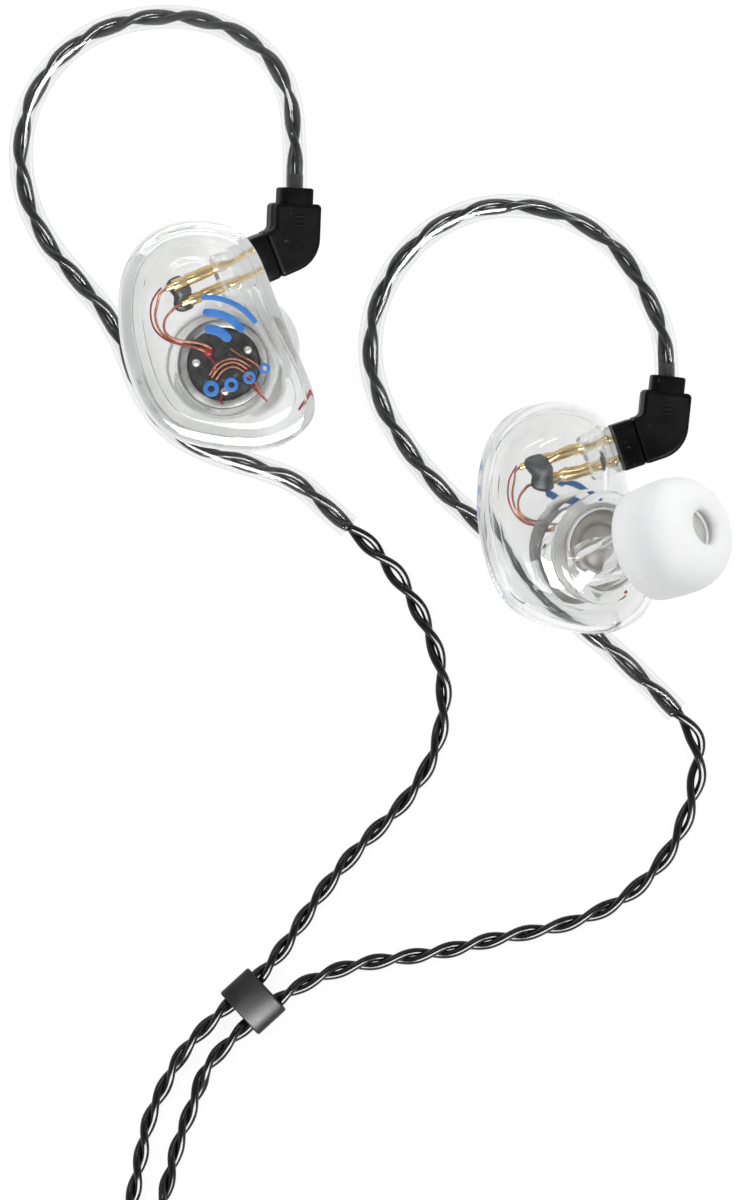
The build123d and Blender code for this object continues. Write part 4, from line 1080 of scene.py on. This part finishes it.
tip = {
    "radius": 5.85, "height": 7.8, "front": 14.5, "hole": 1.8, "coreInner": 2.5, "coreOuter": 3.2,
    "coreLength": 7.5, "stop": 12.9, "skirt": 0.5, "screenRadius": 1.86,
}


# The ear tip turned about the nozzle: soft mouth, domed front, thin skirt, and the core that grips the nozzle.
def tipSkin():
    front, wide, tall, hole, skirt = (tip[name] for name in ("front", "radius", "height", "hole", "skirt"))
    outer, inner, stop = tip["coreOuter"], tip["coreInner"], tip["stop"]
    rear, coreRear = front - tall, front - tip["coreLength"]
    outside = [
        (hole, front - 0.5), (hole + 0.22, front - 0.12), (hole + 0.75, front), (0.72 * wide, front - 0.5),
        (0.92 * wide, front - 1.9), (wide, front - 0.55 * tall), (0.985 * wide, front - 0.8 * tall),
        (0.965 * wide, rear + 0.1),
    ]
    inside = [
        (0.965 * wide - 0.3, rear), (0.965 * wide - skirt, rear + 0.12),
        (wide - 1.3 * skirt, front - 0.55 * tall), (0.78 * wide, front - 2.6), (outer + 0.5, front - 2.3),
        (outer, front - 3.1),
    ]
    curves = []
    for points, count in ((outside, 40), (inside, 26)):
        knots = travelled(np.array(points))
        curves.append(smoothThrough(knots, points, np.linspace(0, knots[-1], count)))
    core = [
        (outer, coreRear + 0.1), (outer - 0.1, coreRear), (inner + 0.1, coreRear), (inner, coreRear + 0.1),
        (inner, stop), (hole + 0.1, stop + 0.5), (hole, stop + 0.7),
    ]
    return onNozzle(np.vstack([*curves, core]), 112, wrap=True)


pairOf("EarTip", [tipSkin()], "whiteSilicone", "white_silicone", "ear_tip", 60, "{}_tip")

# The screen: a thin disc whose face rises to its middle as a root curve.
a = np.linspace(0, 1, 8)
rear, wide = nozzle["length"] - nozzle["screen"] + 0.02, tip["screenRadius"]
face = np.c_[wide * (1 - a), nozzle["length"] - 0.1 + 0.09 * a**0.5]
screen = onNozzle([(0, rear), (wide, rear), *face], 64)
pairOf("NozzleScreen", [screen], "screenSteel", "screen_steel", "nozzle_screen", 40)
print("ear tips made")

plugBody = {
    "width": 4.8, "depth": 3.3, "baseEnd": 2.2, "heel": 3.5, "throat": 0.6, "edge": 0.42, "corner": 0.47,
    "seam": 0.2, "collarWidth": 3.5, "collarDepth": 2.9, "collarEdge": 0.22, "tubeHole": 1.23,
    "partingLine": 0.025, "bars": (2.0, 2.45, 2.9), "barLength": 1.5, "barWidth": 0.2, "barRise": 0.07,
}


# The elbow: a flat bent outline with soft corners, rounded over both faces, with a raised line at half its depth.
# Each row moves the outline in along its normals, and sits at its own height.
def elbowSkin():
    half, depth = plugBody["width"] / 2, plugBody["depth"] / 2
    edge, corner = plugBody["edge"], plugBody["corner"]
    bend, seam = (half - half * legAlong) / legAcross, plugBody["baseEnd"] + 0.01
    corners = [
        (seam, -half), legFlat(-bend, half), legFlat(plug["legLength"], half),
        legFlat(plug["legLength"], -half), legFlat(bend, -half), (seam, half),
    ]
    outline = softCorners(corners, (corner, plugBody["heel"], corner, corner, plugBody["throat"], corner), 12)
    rows = np.vstack([
        [(edge + 0.04, -depth)], quarter(edge, -depth, 1, 6),
        [(0, -0.06), (-plugBody["partingLine"], 0), (0, 0.06)], quarter(edge, depth, -1, 6)[::-1],
        [(edge + 0.04, depth)],
    ])
    ahead = unit(np.roll(outline, -1, 0) - np.roll(outline, 1, 0))
    outward = np.stack([ahead[:, 1], -ahead[:, 0]], -1)
    area = (outline[:, 0] * np.roll(outline[:, 1], -1) - np.roll(outline[:, 0], -1) * outline[:, 1]).sum()
    rings = [atHeight(outline - inset * np.sign(area) * outward, height) for inset, height in rows]
    points, faces = skin(np.stack(rings), (*legFlat(0, 0), -depth), (*legFlat(0, 0), depth))
    return plugSpace(points), faces


# The collar on the leg's end: a soft rectangle whose end face runs in to the round hole that takes the tube.
def collarSkin():
    width, depth, wide = plugBody["collarWidth"], plugBody["collarDepth"], 2 * plugBody["tubeHole"]
    foot, columns = plug["legLength"] - 0.4, 72
    rows = np.vstack([[(0, foot)], quarter(plugBody["collarEdge"], collarEnd, -1)[::-1]])
    rings = [
        atHeight(softSquare(width - 2 * inset, depth - 2 * inset, 3.6, columns), height)
        for inset, height in rows
    ]
    hole = softSquare(wide, wide, 2.0, columns)
    rings += [atHeight(hole * grow, collarEnd - sunk) for grow, sunk in ((1.06, 0), (1, 0.07), (1, 2.9))]
    points, faces = skin(np.stack(rings), (0, 0, foot), (0, 0, collarEnd - 2.9))
    return legSpace(points), faces


# Three low raised bars on each face of the leg, for grip.
def gripSkin(where, face):
    depth = plugBody["depth"] / 2
    points, faces = barSkin(
        plugBody["barLength"], plugBody["barWidth"], 3.0, depth - 0.1, depth + plugBody["barRise"], 0.04, 20,
    )
    return legSpace(points[:, (0, 2, 1)] * (1, face, 1) + (0, 0, where)), faces


elbow = [elbowSkin(), collarSkin()] + [
    gripSkin(where, face) for where in plugBody["bars"] for face in (-1, 1)
]
pairOf("PlugElbow", elbow, "blackMoulding", "black_moulding", "plug_elbow", 35, "cable")
baseEnd = plugBody["baseEnd"] - 0.01
base = barSkin(plugBody["width"], plugBody["depth"], 6.5, 0.05, baseEnd, plugBody["seam"], 96, plugPlace)
pairOf("PlugBase", [base], "blackMoulding", "black_moulding", "plug_base", 35, "cable")
print("plugs made")


# A form turned about a line along a piece in its own axes (across, up, along), in mm.
def drill(across, profile, columns):
    return turnedSkin(profile, (across, 0, 0), inwards, columns)


# A mesh in mm in its own axes, laid at its place on the table with its heading.
def layPiece(name, mesh, laidAs, finish, body, slot, node):
    ahead = heading2d(laidAs["heading"])
    axes = np.stack([np.cross(ahead, inwards), inwards, ahead])
    mesh = movedMesh(mesh, lambda points: (points @ axes + laidAs["at"]) * mm, np.linalg.det(axes) < 0)
    return showMesh(name, mesh, finish, body, slot, node, sharp=35)


bead = {"width": 5.7, "height": 3.2, "round": 0.22, "bore": 1.1, "mouth": 1.17, "softness": 2.3}


# The chin slider in mm: a soft-cornered bar, bored through twice, each bore opening out at its mouths.
def sliderMesh():
    reach, wide, fall = slider["length"] / 2, bead["mouth"], np.linspace(0, 1, 5)
    body = barSkin(bead["width"], bead["height"], bead["softness"], -reach, reach, bead["round"], 96)
    mouth = np.c_[bead["bore"] + (wide - bead["bore"]) * fall**2, reach - 0.4 + 0.4 * fall]
    past = reach + 0.5
    bore = [(0, -past), (wide, -past), *(mouth[::-1] * (1, -1)), *mouth, (wide, past), (0, past)]
    return carved(body, [], [drill(row * slider["pitch"] / 2, bore, 48) for row in (-1, 1)])


layPiece("chinSlider", sliderMesh(), slider, "matteBead", "slider", "matte_bead", "chin_slider")

fork = {"width": 5.0, "depth": 3.0, "nose": 3.0, "shoulder": 6.0, "round": 0.45, "hole": 0.78, "outlet": 0.93}


# The splitter in mm: soft rectangles that narrow to a round nose, with two sockets behind and one in the nose.
def splitterMesh():
    end, edge, shoulder = splitter["length"], fork["round"], fork["shoulder"]
    narrowing = shoulder + np.linspace(0, 1, 10)[:-1] * (end - edge - shoulder)
    rows = np.vstack([
        [(1.0, 0.0)], quarter(edge, 0.0, 1), np.c_[0 * narrowing, narrowing],
        quarter(edge, end, -1)[::-1], [(1.0, end)],
    ])
    rings = []
    for inset, height in rows:
        share = np.clip((height - shoulder) / (end - shoulder), 0, 1) ** 1.2
        width = fork["width"] + (fork["nose"] - fork["width"]) * share
        rings.append(
            atHeight(softSquare(width - 2 * inset, fork["depth"] - 2 * inset, 3.2 - 1.2 * share, 72), height)
        )
    drills, into = [], splitter["insert"]
    for across, start, stop, radius in (
        (-splitter["spread"], -0.5, into, fork["hole"]), (splitter["spread"], -0.5, into, fork["hole"]),
        (0.0, end - into, end + 0.5, fork["outlet"]),
    ):
        drills.append(drill(across, stepped(start, (radius, stop)), 32))
    return carved(skin(np.stack(rings), (0, 0, 0), (0, 0, end)), [], drills)


splitterPiece = layPiece(
    "ySplitter", splitterMesh(), splitter, "blackMoulding", "cable", "black_moulding", "y_splitter",
)

jack = {
    "start": (8.5, -116.2, 2.8), "axis": (-1.0, 0.0, 0.0), "relief": 8.0, "small": 1.5, "large": 2.1,
    "ribs": 5, "groove": 0.4, "barrel": 2.8, "barrelEnd": 23.0, "gripFrom": 11.75, "gripCount": 6,
    "gripStep": 1.1, "bore": 0.93,
}


# The strain relief: it widens evenly to the grip, and a round-bottomed groove rings it at even steps.
def reliefProfile():
    x = np.linspace(0.25, jack["relief"], 160)
    radius = jack["small"] + (jack["large"] - jack["small"]) * x / jack["relief"]
    pitch = jack["relief"] / (jack["ribs"] + 1)
    phase = (x / pitch + 0.5) % 1 - 0.5
    inside = (x > pitch / 2) & (x < jack["relief"] - pitch / 2)
    dip = jack["groove"] * np.sqrt(np.clip(1 - (phase * pitch / (0.6 * jack["groove"])) ** 2, 0, 1)) * inside
    bore = [(0, 1.9), (jack["bore"], 1.9), (jack["bore"], 0.05), (jack["bore"] + 0.06, 0),
            (jack["small"] - 0.2, 0), (jack["small"] - 0.06, 0.06)]
    return np.vstack([bore, np.c_[radius - 0.8 * dip, x], [(0, jack["relief"])]])


# The grip: a round bar with quarter-round ends, and shallow round-bottomed grooves at even steps.
def barrelProfile():
    first, last, wide = jack["relief"], jack["barrelEnd"], jack["barrel"]
    x = np.linspace(first + 0.6, last - 0.6, 260)
    phase = (x - jack["gripFrom"]) / jack["gripStep"]
    inside = (phase > -0.5) & (phase < jack["gripCount"] - 0.5)
    dip = 0.15 * np.clip(1 - (((phase + 0.5) % 1 - 0.5) / 0.24) ** 2, 0, 1) ** 0.5 * inside
    rear, front = quarter(0.6, first, 1, 7), quarter(0.6, last, -1, 7)[::-1]
    ends = [np.c_[wide - rows[:, 0], rows[:, 1]] for rows in (rear, front)]
    return np.vstack([[(0, first)], ends[0], np.c_[wide - dip, x], ends[1], [(0, last)]])


for name, profile, columns, finish, slot, node in (
    ("jackRelief", reliefProfile(), 64, "blackMoulding", "black_moulding", "jack_relief"),
    ("jackBarrel", barrelProfile(), 80, "matteBead", "matte_bead", "jack_barrel"),
):
    points, faces = turnedSkin(profile, jack["start"], jack["axis"], columns)
    addPiece(name, [(points * mm, faces)], finish, "cable", slot, node, sharp=40)
print("slider, splitter and jack made")

for side, (lead, path) in leads.items():
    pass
print("all pieces made")
